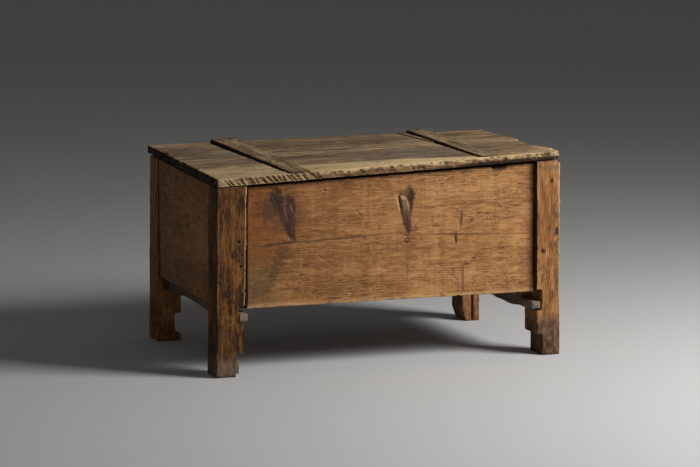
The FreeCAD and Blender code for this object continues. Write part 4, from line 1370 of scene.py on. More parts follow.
@dataclass(frozen=True)
class BattenForm:
    """Plan and section of a tapered dovetail batten.

    Attributes:
        front: Left and right edge at the front.
        rear: Left and right edge at the rear.
        front_y: Front end.
        sunk: Depth in the lid.
        flare: Undercut.
        proud: Height above the lid at the front and the rear.
    """

    front: Pair
    rear: Pair
    front_y: float
    sunk: float = 0.010
    flare: float = 0.004
    proud: Pair = (0.0015, 0.009)

    def edges(self, y: np.ndarray) -> list[np.ndarray]:
        """Left and right edge along the batten."""
        share = (y - self.front_y) / (LID_REAR - self.front_y)
        return [front + (rear - front) * share for front, rear in zip(self.front, self.rear)]

    def rough_out(self, name: str, gap: float = 0.0, left_gap: float = 0.0, past: float = 0.0,
                  tall: float | None = None) -> Solid:
        """Planes the batten, or a cutter for its trench.

        Args:
            name: Name of the piece.
            gap: Room all round it.
            left_gap: More room on its left.
            past: Length past the lid's rear edge.
            tall: Height above the lid, in place of the batten's own.

        Returns:
            The planed shape.
        """
        form = block(name, (0.0, self.front_y - gap, -1.0), (1.0, LID_REAR + past, 1.0))
        score(form, 2, [0.0])
        score(form, 1, np.linspace(self.front_y, LID_REAR, 26)[1:-1])

        def plane(points: np.ndarray) -> np.ndarray:
            """Lays the unit block along the batten."""
            x, y, z = points.T
            left, right = self.edges(y)
            share = (y - self.front_y) / (LID_REAR - self.front_y)
            proud = self.proud[0] + (self.proud[1] - self.proud[0]) * share if tall is None else tall
            root = np.where(z < -0.5, self.flare, 0.0)
            face = LID.top(np.where(x < 0.5, left, right), y)
            level = np.select([z < -0.5, z > 0.5], [-self.sunk - gap, proud], 0.0)
            across = np.where(x < 0.5, left - gap - left_gap - root, right + gap + root)
            return np.column_stack([across, y, face + level])

        shape_points(form, plane)
        return form


BATTENS = {
    Side.LEFT: BattenForm((-0.315, -0.258), (-0.338, -0.248), -0.351),
    Side.RIGHT: BattenForm((0.288, 0.340), (0.330, 0.404), -0.346),
}


@dataclass(frozen=True)
class WedgeForm:
    """The wedge driven in beside the right batten.

    Attributes:
        thin: Width at its thin end.
        wide: Width at the lid's rear edge.
        proud: Height above the lid.
    """

    thin: float = 0.006
    wide: float = 0.032
    proud: float = 0.0012

    def rough_out(self, name: str, gap: float = 0.0, tall: float | None = None) -> Solid:
        """Cleaves the wedge, or a cutter for its trench.

        Args:
            name: Name of the piece.
            gap: Room all round it.
            tall: Height above the lid, in place of the wedge's own.

        Returns:
            The cleft shape.
        """
        past = 0.002 if gap else 0.0
        form = block(name, (0.0, WEDGE_FRONT - gap, -1.0), (1.0, LID_REAR + past, 1.0))
        score(form, 1, np.linspace(WEDGE_FRONT, LID_REAR, 12)[1:-1])

        def cleave(points: np.ndarray) -> np.ndarray:
            """Lays the unit block along the batten's edge."""
            x, y, z = points.T
            edge = BATTENS[Side.RIGHT].edges(y)[0] - 0.0003
            share = (y - WEDGE_FRONT) / (LID_REAR - WEDGE_FRONT)
            width = self.thin + (self.wide - self.thin) * share
            root = np.where(z < 0, 0.004, 0.0)
            level = np.where(z < 0, -0.010 - gap, self.proud if tall is None else tall)
            across = np.where(x < 0.5, edge - width - gap, edge + gap - root)
            return np.column_stack([across, y, LID.top(edge, y) + level])

        shape_points(form, cleave)
        return form


@dataclass
class LidBoard(Piece):
    """A lid board in wind, with trenches for the battens and a rough right end.

    Attributes:
        low_y: Front edge.
        high_y: Rear edge.
        end_marks: Places along the right end, as Y and X.
        wedged: Whether the wedge's trench is cut in it.
    """

    low_y: float = LID_FRONT
    high_y: float = 0.01175
    end_marks: tuple[Pair, ...] = ()
    wedged: bool = False

    def rough_out(self) -> Solid:
        """Saws the board, lays it in wind and cuts its trenches.

        Returns:
            The sawn board.
        """
        board = block(self.node, (LID_LEFT, self.low_y, 0.0), (0.5, self.high_y, LID_THICK))
        score(board, 0, np.linspace(LID_LEFT, 0.5, 14)[1:-1])
        score(board, 1, sorted({y for y, _ in self.end_marks if self.low_y < y < self.high_y}))
        places, ends = zip(*sorted(self.end_marks))

        def wind(points: np.ndarray) -> np.ndarray:
            """Lays the flat board on the wound plane and draws its right end to its marks."""
            at_end = points[:, 0] > 0.499
            points[at_end, 0] = np.interp(points[at_end, 1], places, ends)
            points[:, 2] += LID.under(points[:, 0], points[:, 1])
            return points

        shape_points(board, wind)
        for form in BATTENS.values():
            cut(board, form.rough_out("trench", gap=0.0006, left_gap=0.0048, past=0.004, tall=TRENCH_TALL))
        if self.wedged:
            cut(board, WedgeForm().rough_out("trench", gap=0.0008, tall=TRENCH_TALL))
        return board

    def bias(self, points: np.ndarray) -> np.ndarray:
        """More wear along the front edge and the right end."""
        return 0.6 * unit(1 - (points[:, 1] - LID_FRONT) / 0.03) + 0.5 * unit((points[:, 0] - 0.50) / 0.04)

    def polish_and_glint(self, points: np.ndarray, normals: np.ndarray) -> np.ndarray:
        """Pale along the front of the top and over the front arris, deepest in the middle."""
        x, y, z = points.T
        patches = mottle(points, [16.0, 26.0, 16.0], 17)
        places = (-0.544, -0.35, -0.20, 0.0, 0.10, 0.18, 0.26, 0.34, 0.50)
        reach = np.interp(x, places, (0.24, 0.20, 0.15, 0.15, 0.13, 0.10, 0.06, 0.035, 0.025))
        share = np.interp(x, places, (0.50, 0.55, 0.72, 1.0, 1.0, 1.0, 0.9, 0.65, 0.25))
        upward = unit((normals[:, 2] - 0.1) / 0.5)
        top = upward * unit((reach * (0.8 + 0.4 * patches) - (y - LID_FRONT)) / (0.3 * reach))
        drop = LID.top(x, y) - z
        ragged = 0.003 + 0.014 * mottle(points, [60.0, 90.0, 60.0], 37)
        hacked = self.hacked(points)
        lip = (y < LID_FRONT + 0.012) * unit((ragged - drop) / 0.005 + 0.5) * (1 - 0.6 * hacked)
        ridges = hacked * (y < LID_FRONT + 0.02)
        corner = unit((x - 0.505) / 0.025) * unit((-0.17 - y) / 0.06)
        corner = corner * (0.2 + 0.8 * (mottle(points, [110.0] * 3, 41) > 0.5))
        return np.maximum.reduce([share * top, 0.9 * share * lip, 0.7 * corner, 0.4 * ridges])

    @staticmethod
    def hacked(points: np.ndarray) -> np.ndarray:
        """Where the front edge was hacked with an axe, from 0 to 1."""
        return unit((-0.235 - points[:, 0]) / 0.03)

    def dirt_and_shade(self, points: np.ndarray, normals: np.ndarray) -> np.ndarray:
        """Dark specks on the front edge, and painted shade: on the lower front edge, the left end, the underside,
        beside the battens' left flanks and ahead of their front ends.
        """
        x, y, z = points.T
        drop = LID.top(x, y) - z
        ahead = unit((-normals[:, 1] - 0.35) / 0.4) * (y < LID_FRONT + 0.02)
        lumps = 0.6 * mottle(points, [50.0, 90.0, 120.0], 19) + 0.4 * mottle(points, [120.0, 120.0, 200.0], 20)
        # Painted shade over the lower part of the front edge, growing towards the right.
        low = unit((drop - np.interp(x, (0.1, 0.35), (0.016, 0.012))) / 0.004)
        low = low * np.interp(x, (0.05, 0.25), (0.2, 0.97))
        dark = np.maximum(np.clip(2.4 * lumps - 0.85, 0, 0.8), low) * (1 - 0.35 * self.hacked(points))
        # Painted shade on the left end.
        left = unit((-normals[:, 0] - 0.5) / 0.3) * (x < LID_LEFT + 0.02)
        beside = np.zeros(len(points))
        # Painted shade beside each batten's left flank and ahead of its front end.
        for form in BATTENS.values():
            flank = unit(1.3 - np.abs(form.edges(y)[0] - x) / 0.009) * (y > form.front_y + 0.03) * (drop < 0.012)
            ahead_of = (x > form.front[0] - 0.004) * (x < form.front[1] + 0.002) * (drop < 0.008)
            end = unit(1.5 - np.abs(y - form.front_y + 0.003) / 0.005) * ahead_of
            end = end * np.clip(2.6 * mottle(points, [90.0, 20.0, 20.0], 43) - 0.4, 0, 1.1)
            beside = np.maximum.reduce([beside, flank, end])
        # The term on downward faces is painted shade under the lid.
        return np.maximum(ahead * dark + 0.9 * left + np.clip(-normals[:, 2] - 0.5, 0, 0.5), 0.85 * beside)


@dataclass
class Batten(Piece):
    """A batten that holds the lid boards flat.

    Attributes:
        form: Its plan and section.
    """

    form: BattenForm = BATTENS[Side.LEFT]

    def rough_out(self) -> Solid:
        """Planes the batten."""
        return self.form.rough_out(self.node)

    def dirt_and_shade(self, points: np.ndarray, normals: np.ndarray) -> np.ndarray:
        """Painted shade on the left flank, along the top beside it and on the front end."""
        flank = 0.95 * unit((-normals[:, 0] - 0.15) / 0.3)
        beside = unit(1 - (points[:, 0] - self.form.edges(points[:, 1])[0]) / 0.024)
        end = unit((-normals[:, 1] - 0.2) / 0.3) * (points[:, 1] < self.form.front_y + 0.012)
        return np.maximum.reduce([flank, 0.75 * beside, 0.95 * end])


@dataclass
class Wedge(Piece):
    """The wedge beside the right batten."""

    def rough_out(self) -> Solid:
        """Cleaves the wedge."""
        return WedgeForm().rough_out(self.node)


@dataclass
class Pegs(Piece):
    """A group of whittled pegs.

    Attributes:
        ends: Middle of the outer and of the inner end of each peg.
        thick: Thickness.
    """

    ends: list[tuple[Spot, Spot]] = field(default_factory=list)
    thick: float = 0.010

    def whittle(self, head: Spot, tail: Spot) -> Solid:
        """Whittles one peg from a squared bar, with a blunt head and a thinner tail.

        Args:
            head: Middle of its outer end.
            tail: Middle of its inner end.

        Returns:
            The peg.
        """
        axis = int(np.argmax(np.abs(np.subtract(head, tail))))
        pad = [0.0 if i == axis else self.thick / 2 for i in range(3)]
        low = tuple(min(a, b) - p for a, b, p in zip(head, tail, pad))
        high = tuple(max(a, b) + p for a, b, p in zip(head, tail, pad))
        bar = block("peg", low, high)
        score(bar, axis, np.linspace(head[axis], tail[axis], 5)[1:-1])

        def thin(points: np.ndarray) -> np.ndarray:
            """Thins the bar towards its tail."""
            share = np.abs(points[:, axis] - head[axis]) / abs(tail[axis] - head[axis])
            for i in {0, 1, 2} - {axis}:
                points[:, i] = head[i] + (points[:, i] - head[i]) * (1 - 0.12 * share)
            return points

        shape_points(bar, thin)
        work(bar, "BEVEL", width=0.0011, segments=2)
        return bar

    def rough_out(self) -> Solid:
        """Whittles all the pegs."""
        return unite([self.whittle(head, tail) for head, tail in self.ends], self.node)


@dataclass
class Nails(Piece):
    """The nails of the bottom boards, with hammered heads.

    Attributes:
        spots: Plan places.
        half: Half thickness of the shank.
        heights: Height of the point and of the shoulder.
    """

    spots: list[Pair] = field(default_factory=list)
    half: float = 0.0025
    heights: Pair = (0.182, 0.224)

    def rough_out(self) -> Solid:
        """Forges each nail from a tapered square shank and a faceted head.

        Returns:
            The group of nails.
        """
        nails = []
        low, high = self.heights
        for x, y in self.spots:
            shank = block("nail", (x - self.half, y - self.half, low), (x + self.half, y + self.half, high))
            pull(shank, lambda co, x=x: co.z < 0.2 and co.x < x, (0.0015, 0.0, 0.0))
            pull(shank, lambda co, x=x: co.z < 0.2 and co.x > x, (-0.0015, 0.0, 0.0))
            with editing(shank, "FACE") as mesh:
                for face in mesh.faces:
                    face.select_set(face.normal.z > 0.9)
                bmesh.update_edit_mesh(shank.data)
                for rise, grow, level in ((0.0005, 2.2, 0.2245), (0.0022, 0.45, 0.2262)):
                    bpy.ops.mesh.extrude_region_move(TRANSFORM_OT_translate={"value": (0.0, 0.0, rise)})
                    bpy.ops.transform.resize(value=(grow, grow, 1.0), center_override=(x, y, level))
            nails.append(shank)
        return unite(nails, self.node)


@dataclass
class Wires(Piece):
    """One half of a hinge, of wires welded together.

    Attributes:
        parts: The wires.
    """

    parts: list[Solid] = field(default_factory=list)

    def rough_out(self) -> Solid:
        """Welds the wires."""
        return unite(self.parts, self.node)


@dataclass
class Hinge:
    """A hinge of two linked wires, an eye on the back board and a loop on the lid.

    Attributes:
        name: Which hinge.
        x: Its place along the chest.
        side: Side on which it lies.
        axis_y: Y of the axis.
        axis_z: Height of the axis.
        wire: Radius of the wire.
        inside: Y of the clinched ends inside the chest.
    """

    name: str
    x: float
    side: Side
    axis_y: float = 0.358
    axis_z: float = 0.558
    wire: float = 0.0024
    inside: float = 0.3055

    def hoop(self, radius: float, centre: Spot, turn: Spot) -> Solid:
        """A ring of wire by its radius, middle and turn."""
        return shape(bpy.ops.mesh.primitive_torus_add, "hoop", location=centre, rotation=turn, major_radius=radius,
                     minor_radius=self.wire, major_segments=36, minor_segments=12)

    def rod(self, start: Spot, stop: Spot, share: float) -> Solid:
        """A round bar between two points, by its share of the wire's radius."""
        line = Vector(stop) - Vector(start)
        return shape(bpy.ops.mesh.primitive_cylinder_add, "rod", vertices=14, radius=self.wire * share,
                     depth=line.length, location=(Vector(start) + Vector(stop)) / 2,
                     rotation=line.to_track_quat("Z", "Y").to_euler())

    def forge(self, node: str, body: str, parts: list[Solid], seed: int) -> None:
        """Welds the wires of one half and hammers its surface.

        Args:
            node: Node that it stands for.
            body: Body that it moves with.
            parts: The wires.
            seed: Picks the hammer marks.
        """
        weather = Weather(0.0008, 3, 0.0004, 0.0, Grain.ALONG_X, seed)
        Wires(node, body, "iron", weather, parts=parts).make(IRON)

    def build(self) -> None:
        """Forges the eye and the loop."""
        x, y, z, inside = self.x, self.axis_y, self.axis_z, self.inside
        eye = [self.hoop(0.010, (x, y - 0.010, z), (0.0, 0.0, 0.0)),
               self.rod((x, y - 0.0195, z), (x, inside + 0.001, z), 0.85)]
        for way in (-1, 1):
            eye.append(self.rod((x, inside + 0.002, z), (x + way * 0.011, inside + 0.0024, z + way * 0.0012), 0.75))
        self.forge(f"hinge_eye_{self.name}", "carcass", eye, 60 + self.side.value)
        top = max(LID.top(edge, y) for edge in BATTENS[self.side].rear) + 0.009
        loop = [self.hoop(0.007, (x, y, z), (0.0, math.pi / 2, 0.0)),
                self.rod((x, y, z + 0.0065), (x, y, top + 0.003), 0.85)]
        for way in (-1, 1):
            loop.append(self.rod((x, y, top + 0.0024), (x + way * 0.0112, y + way * 0.001, top + 0.0022), 0.8))
        self.forge(f"hinge_loop_{self.name}", "lid", loop, 70 + self.side.value)


@dataclass
class Carcass:
    """The body of the chest: posts, boards, rails, bottom, pegs and nails.

    Attributes are the colours of its marks, and the width, spacing and start of the bottom boards.
    """

    knot: Colour = (0.030, 0.013, 0.009)
    stain: Colour = (0.085, 0.038, 0.016)
    dust: Colour = (0.22, 0.17, 0.125)
    mud: Colour = (0.110, 0.080, 0.062)
    purple: Colour = (0.092, 0.036, 0.025)
    black: Colour = (0.018, 0.011, 0.008)
    olive: Colour = (0.120, 0.085, 0.040)
    red: Colour = (0.165, 0.047, 0.005)
    umber: Colour = (0.108, 0.037, 0.005)
    bark: Colour = (0.060, 0.036, 0.016)
    smudge: Colour = (0.024, 0.011, 0.005)
    wine: Colour = (0.110, 0.046, 0.030)
    sap: Colour = (0.40, 0.23, 0.13)
    ash: Colour = (0.21, 0.135, 0.095)
    rose: Colour = (0.150, 0.072, 0.052)
    board_wide: float = 0.15522
    board_gap: float = 0.0015
    board_start: float = -0.3157

    def posts(self) -> None:
        """Builds the four posts."""
        left_marks = upright(
            -0.36,
            (-0.475, 0.502, 0.010, 0.026, self.smudge, 0, 0.8, 0.9, 0.75),
            (-0.511, 0.475, 0.010, 0.024, self.smudge, 0, 0.8, 0.9, 0.8),
            (-0.502, 0.44, 0.008, 0.05, self.stain, 0, 0.8, 0.5, 0.6),
            (-0.494, 0.36, 0.013, 0.012, self.black, 0, 0.6, 0.5, 0.6),
            (-0.516, 0.246, 0.011, 0.012, self.black, 0, 0.4, 0.5, 0.8),
            (-0.473, 0.229, 0.008, 0.026, self.smudge, 0, 0.8, 0.9, 0.8), deep=0.03,
        ) + upright(-0.36, (-0.52, 0.0, 0.09, 0.06, self.dust, 0, 0.7, 0.5, 0.42), deep=0.2)
        right_marks = upright(
            -0.36,
            (0.539, 0.3815, 0.009, 0.012, self.knot, 0, 0.4),
            (0.490, 0.3226, 0.006, 0.008, self.black, 0, 0.5, 0.5, 0.7),
            (0.517, 0.515, 0.006, 0.05, self.red, 0, 0.7, 0.5, 0.6),
            (0.498, 0.44, 0.006, 0.06, self.red, 0, 0.8, 0.5, 0.5),
            (0.517, 0.575, 0.05, 0.012, self.olive, 0, 0.8, 0.5, 0.6), deep=0.03,
        ) + upright(-0.36, (0.517, 0.03, 0.09, 0.105, self.mud, 0, 0.8, 0.5, 0.5), deep=0.2)
        into, across = (0, 1, 0), (1, 0, 0)
        posts = [
            Post("post_front_left", side=Side.LEFT, end=End.FRONT, wide=0.086, lean=0.008, foot=Foot.SPLIT_TOE,
                 step=0.068, step_in=0.025, toe=0.032, board_low=0.198, swell=0.004, rubbed=0.9, bright=0.35,
                 muddy=0.5, marks=left_marks,
                 gouges=[stroke((-0.4784, -0.361, 0.400), into, 0.012, 0.0042, 0.007),
                         stroke((-0.4743, -0.361, 0.326), into, 0.012, 0.0042, 0.007),
                         stroke((-0.5235, -0.361, 0.0527), into, 0.008, 0.003, 0.005),
                         stroke((-0.497, -0.361, 0.0345), into, 0.008, 0.003, 0.005),
                         stroke((-0.549, -0.287, 0.266), across, 0.012, 0.0042, 0.007)]),
            Post("post_front_right", side=Side.RIGHT, end=End.FRONT, wide=0.078, lean=0.005, foot=Foot.PLAIN,
                 step=0.066, step_in=0.020, notch=(0.140, 0.203), board_low=0.195, bright=0.75, muddy=0.9,
                 marks=right_marks,
                 gouges=[stroke((0.517, -0.361, 0.5386), into, 0.012, 0.0038, 0.006),
                         Gouge((0.547, -0.365, 0.603), (0.547, -0.26, 0.603), 0.016, 0.006)]),
            Post("post_rear_left", side=Side.LEFT, end=End.REAR, wide=0.080, lean=0.008, foot=Foot.TOE,
                 step=0.086, step_in=0.020, toe=0.023, boards=(0.310, 0.334), board_low=0.209),
            Post("post_rear_right", side=Side.RIGHT, end=End.REAR, wide=0.084, lean=0.005, foot=Foot.WORN,
                 step=0.091, step_in=0.022, notch=(0.140, 0.203), boards=(0.310, 0.334), board_low=0.209,
                 gouges=[Gouge((0.524, 0.264, 0.0), (0.5245, 0.264, 0.12), 0.005, 0.012)]),
        ]
        for index, post in enumerate(posts):
            post.weather = Weather(0.003, 8, 0.0012, 0.0003, Grain.ALONG_Z, 11 + index)
            post.gouges += post.bruises(200 + 40 * index)
            # The front left post takes DIRTY_SHADED_PINE, darker partly from dirt and partly from painted shade.
            post.make(DIRTY_SHADED_PINE if index == 0 else POST_PINE)

    def front_marks(self) -> list[Mark | Knot]:
        """Knots, stains and lines of the front board, the lowest first."""
        below = upright(
            -0.33,
            # The broad soft umber mark darkens the left half of the board: partly the board's own tone, partly
            # painted shade where the light falls off to the left.
            (-0.78, 0.36, 0.80, 0.90, self.umber, 0, 1.0, 0.2, 0.62),
            (-0.46, 0.48, 0.22, 0.20, self.red, 0, 1.0, 0.4, 0.60),
            (-0.45, 0.25, 0.09, 0.09, self.olive, 0, 1.0, 0.8, 0.45),
            (-0.352, 0.325, 0.020, 0.060, self.bark, 32, 1.0, 1.0, 0.60),
            (-0.405, 0.262, 0.030, 0.060, self.bark, 40, 1.0, 1.0, 0.40),
            (-0.352, 0.3835, 0.055, 0.0034, self.knot, -5.0, 0.7, 0.6, 0.70),
            (-0.378, 0.490, 0.034, 0.036, self.knot, 25, 1.0, 1.4, 0.50),
            (-0.376, 0.492, 0.028, 0.036, self.stain, 25, 0.95, 0.9, 0.7),
        )
        knot = Knot((-0.306, -0.33, 0.392), (-0.332, -0.33, 0.512), 0.037,
                    self.purple, self.knot, self.stain, 0.025)
        above = upright(
            -0.33,
            (-0.357, 0.522, 0.019, 0.037, self.black, -12, 1.0, 1.0, 0.88),
            (-0.318, 0.516, 0.012, 0.020, self.knot, -20, 1.0, 1.2, 0.60),
            (-0.3573, 0.548, 0.0024, 0.010, self.black, 0, 0.6, 0.4, 0.80),
            (-0.3705, 0.5176, 0.0045, 0.007, self.black, 0, 0.6, 0.5, 0.85),
            (-0.3589, 0.5008, 0.0045, 0.007, self.black, -20, 0.6, 0.5, 0.85),
            (-0.330, 0.480, 0.0042, 0.028, self.rose, -12, 0.8, 0.6, 0.70),
            (-0.3096, 0.488, 0.0030, 0.014, self.ash, -20, 0.8, 0.7, 0.55),
            (-0.3020, 0.486, 0.0032, 0.012, self.black, -15, 0.6, 0.5, 0.85),
            (-0.3199, 0.429, 0.0060, 0.020, self.knot, -10, 0.7, 0.6, 0.70),
            (-0.3143, 0.407, 0.0036, 0.009, self.black, -25, 0.6, 0.5, 0.80),
            (-0.3002, 0.396, 0.0036, 0.009, self.black, -20, 0.6, 0.5, 0.80),
            (-0.3170, 0.398, 0.0040, 0.006, self.sap, 0, 0.7, 0.5, 0.32),
            (0.059, 0.514, 0.017, 0.024, self.bark, 10, 0.8, 1.0, 0.75),
            (0.066, 0.494, 0.0095, 0.034, self.black, 4, 0.8, 1.0, 0.85),
            (0.026, 0.490, 0.0036, 0.032, FACE_PINE.worn, -10, 0.7, 0.5, 0.60),
            (0.0475, 0.458, 0.0135, 0.066, self.black, -13, 0.5, 0.5, 0.85),
            (0.0505, 0.456, 0.0085, 0.058, self.wine, -13, 0.6, 0.5, 0.95),
            (0.0480, 0.485, 0.0090, 0.019, self.ash, -13, 0.6, 0.5, 0.62),
            # The two sap marks below are pale wood on the knot's right side and top, partly a painted highlight where
            # the raised stub catches the light.
            (0.0580, 0.481, 0.0030, 0.019, self.sap, -18, 0.6, 0.5, 0.75),
            (0.0425, 0.504, 0.0110, 0.0060, self.sap, 30, 0.6, 0.4, 0.90),
            (0.0560, 0.425, 0.0046, 0.032, self.knot, -8, 0.7, 0.5, 0.75),
            (0.054, 0.376, 0.007, 0.010, self.black, 0, 0.6, 0.6, 0.85),
            (0.054, 0.377, 0.0032, 0.005, self.ash, 0, 0.6, 0.4, 0.90),
            (0.0494, 0.386, 0.0050, 0.0032, self.sap, 0, 0.6, 0.4, 0.60),
            (0.0510, 0.392, 0.0080, 0.0026, self.knot, 10, 0.6, 0.5, 0.70),
            (0.351, 0.585, 0.026, 0.016, self.black, 0, 0.8, 0.5, 0.90),
            (0.055, 0.300, 0.006, 0.050, self.stain, 0, 0.9, 0.5, 0.35),
            (0.229, 0.430, 0.0045, 0.027, self.stain, 5, 0.5, 0.7, 0.85),
            (0.212, 0.373, 0.0040, 0.017, self.black, -4, 0.6, 0.6, 0.95),
            (0.2355, 0.248, 0.0028, 0.045, self.stain, 0, 0.6, 0.5, 0.80),
            (0.271, 0.310, 0.006, 0.005, self.stain),
            (-0.18, 0.391, 0.26, 0.0040, self.stain, -2.4, 0.8, 0.5, 0.65),
            (0.22, 0.386, 0.24, 0.0034, self.stain, 2.4, 0.8, 0.5, 0.60),
            (0.20, 0.475, 0.16, 0.0030, self.stain, -1.0, 0.8, 0.6, 0.40),
        )
        return [*below, knot, *above]

    def front_cuts(self) -> list[Gouge]:
        """Holes, scores and bruises of the front board."""
        return [
            stroke((-0.2057, -0.341, 0.5377), (0, 1, 0), 0.012, 0.0034, 0.006),
            Gouge((0.334, -0.341, 0.587), (0.366, -0.341, 0.589), 0.011, 0.010),
            Gouge((-0.228, -0.3405, 0.3455), (-0.175, -0.3405, 0.304), 0.0028, 0.0018),
            Gouge((-0.1116, -0.3405, 0.480), (-0.0927, -0.3405, 0.455), 0.003, 0.0022),
            Gouge((-0.401, -0.3405, 0.3784), (-0.290, -0.3405, 0.3890), 0.0024, 0.0016),
            Gouge((0.026, -0.3405, 0.508), (0.034, -0.3405, 0.470), 0.003, 0.004),
            Gouge((0.064, -0.3405, 0.512), (0.062, -0.3405, 0.450), 0.0035, 0.002),
            *nibbles((-0.44, -0.340, 0.198), (0.46, -0.340, 0.195), 46, 301, 0.0045, 0.0030),
            *nibbles((-0.44, -0.340, 0.556), (0.46, -0.340, 0.592), 20, 302, 0.0035, 0.0018),
        ]

    def boards(self) -> None:
        """Builds the front, back and end boards."""
        front = FaceBoard(
            "panel_front", slot="face_pine", weather=Weather(0.0033, 6, 0.0008, 0.00018, Grain.ALONG_X, 3),
            shoulders=((-0.451, -0.4445), (0.470, 0.4665)), marks=self.front_marks(), gouges=self.front_cuts(),
        )
        front.make(FACE_PINE)
        back = FaceBoard("panel_back", slot="face_pine", weather=Weather(0.0045, 6, 0.0012, 0.0004, Grain.ALONG_X, 5),
                         left=-0.526, right=0.522, faces=(0.310, 0.334), lows=(0.209, 0.209), gap=0.009)
        back.make(FACE_PINE)
        for index, side in enumerate(Side):
            weather = Weather(0.0042, 6, 0.0012, 0.0004, Grain.ALONG_Y, 7 + index)
            EndBoard(f"panel_{side.name.lower()}", slot="face_pine", side=side, weather=weather).make(FACE_PINE)

    def floor(self) -> None:
        """Builds the rails, the bottom boards and their nails."""
        rails = [
            Rail("rail_left", slot="grey_pine", side=Side.LEFT),
            Rail("rail_right", slot="grey_pine", side=Side.RIGHT, post_wides=(0.078, 0.084), sill=0.1406,
                 tongue=(0.144, 0.169), belly=(0.1327, 0.1427)),
        ]
        for index, rail in enumerate(rails):
            rail.weather = Weather(0.0032, 12, 0.0022, 0.0006, Grain.ALONG_Y, 21 + index)
            rail.make(GREY_PINE)
        wide, pitch = self.board_wide, self.board_wide + self.board_gap
        for index in range(4):
            low = self.board_start + index * pitch
            BottomBoard(f"bottom_board_{index + 1}", slot="grey_pine", low_y=low, high_y=low + wide,
                        corner={0: End.FRONT, 3: End.REAR}.get(index),
                        post_wides=(0.086, 0.078) if index == 0 else (0.080, 0.084),
                        weather=Weather(0.0048, 5, 0.0010, 0.0004, Grain.ALONG_X, 31 + index)).make(GREY_PINE)
        spots = [(x, self.board_start + wide / 2 + index * pitch) for x in (-0.4815, 0.4855) for index in range(4)]
        weather = Weather(0.0009, 2, 0.0003, 0.0, Grain.ALONG_X, 41)
        Nails("bottom_nails", slot="iron", spots=spots, weather=weather).make(IRON)

    def pegs(self) -> None:
        """Builds the peg groups."""
        front = [(-0.494, 0.359), (-0.514, 0.246), (0.518, 0.536), (0.492, 0.322)]
        levels = (0.266, 0.456)
        groups = {
            "pegs_front": [((x, -0.3609, z), (x, -0.309, z)) for x, z in front],
            "pegs_back": [((x, 0.3609, z), (x, 0.303, z)) for x in (-0.498, 0.498) for z in levels],
        }
        for side, lean in zip(Side, POST_LEANS):
            ends = []
            for y in (-0.286, 0.286):
                for z in levels:
                    face = HALF_WIDE - lean * z / LID.under(side.value * HALF_WIDE, y) + 0.0008
                    ends.append(((side.value * face, y, z), (side.value * 0.5105, y, z)))
            groups[f"pegs_{side.name.lower()}"] = ends
        for index, (node, ends) in enumerate(groups.items()):
            grain = Grain.ALONG_Y if index < 2 else Grain.ALONG_X
            weather = Weather(0.0011, 3, 0.0005, 0.0002, grain, 51 + index)
            Pegs(node, slot="peg_wood", ends=ends, weather=weather).make(PEG_WOOD)

    def build(self) -> None:
        """Builds the whole carcass."""
        self.posts()
        self.boards()
        self.floor()
        self.pegs()


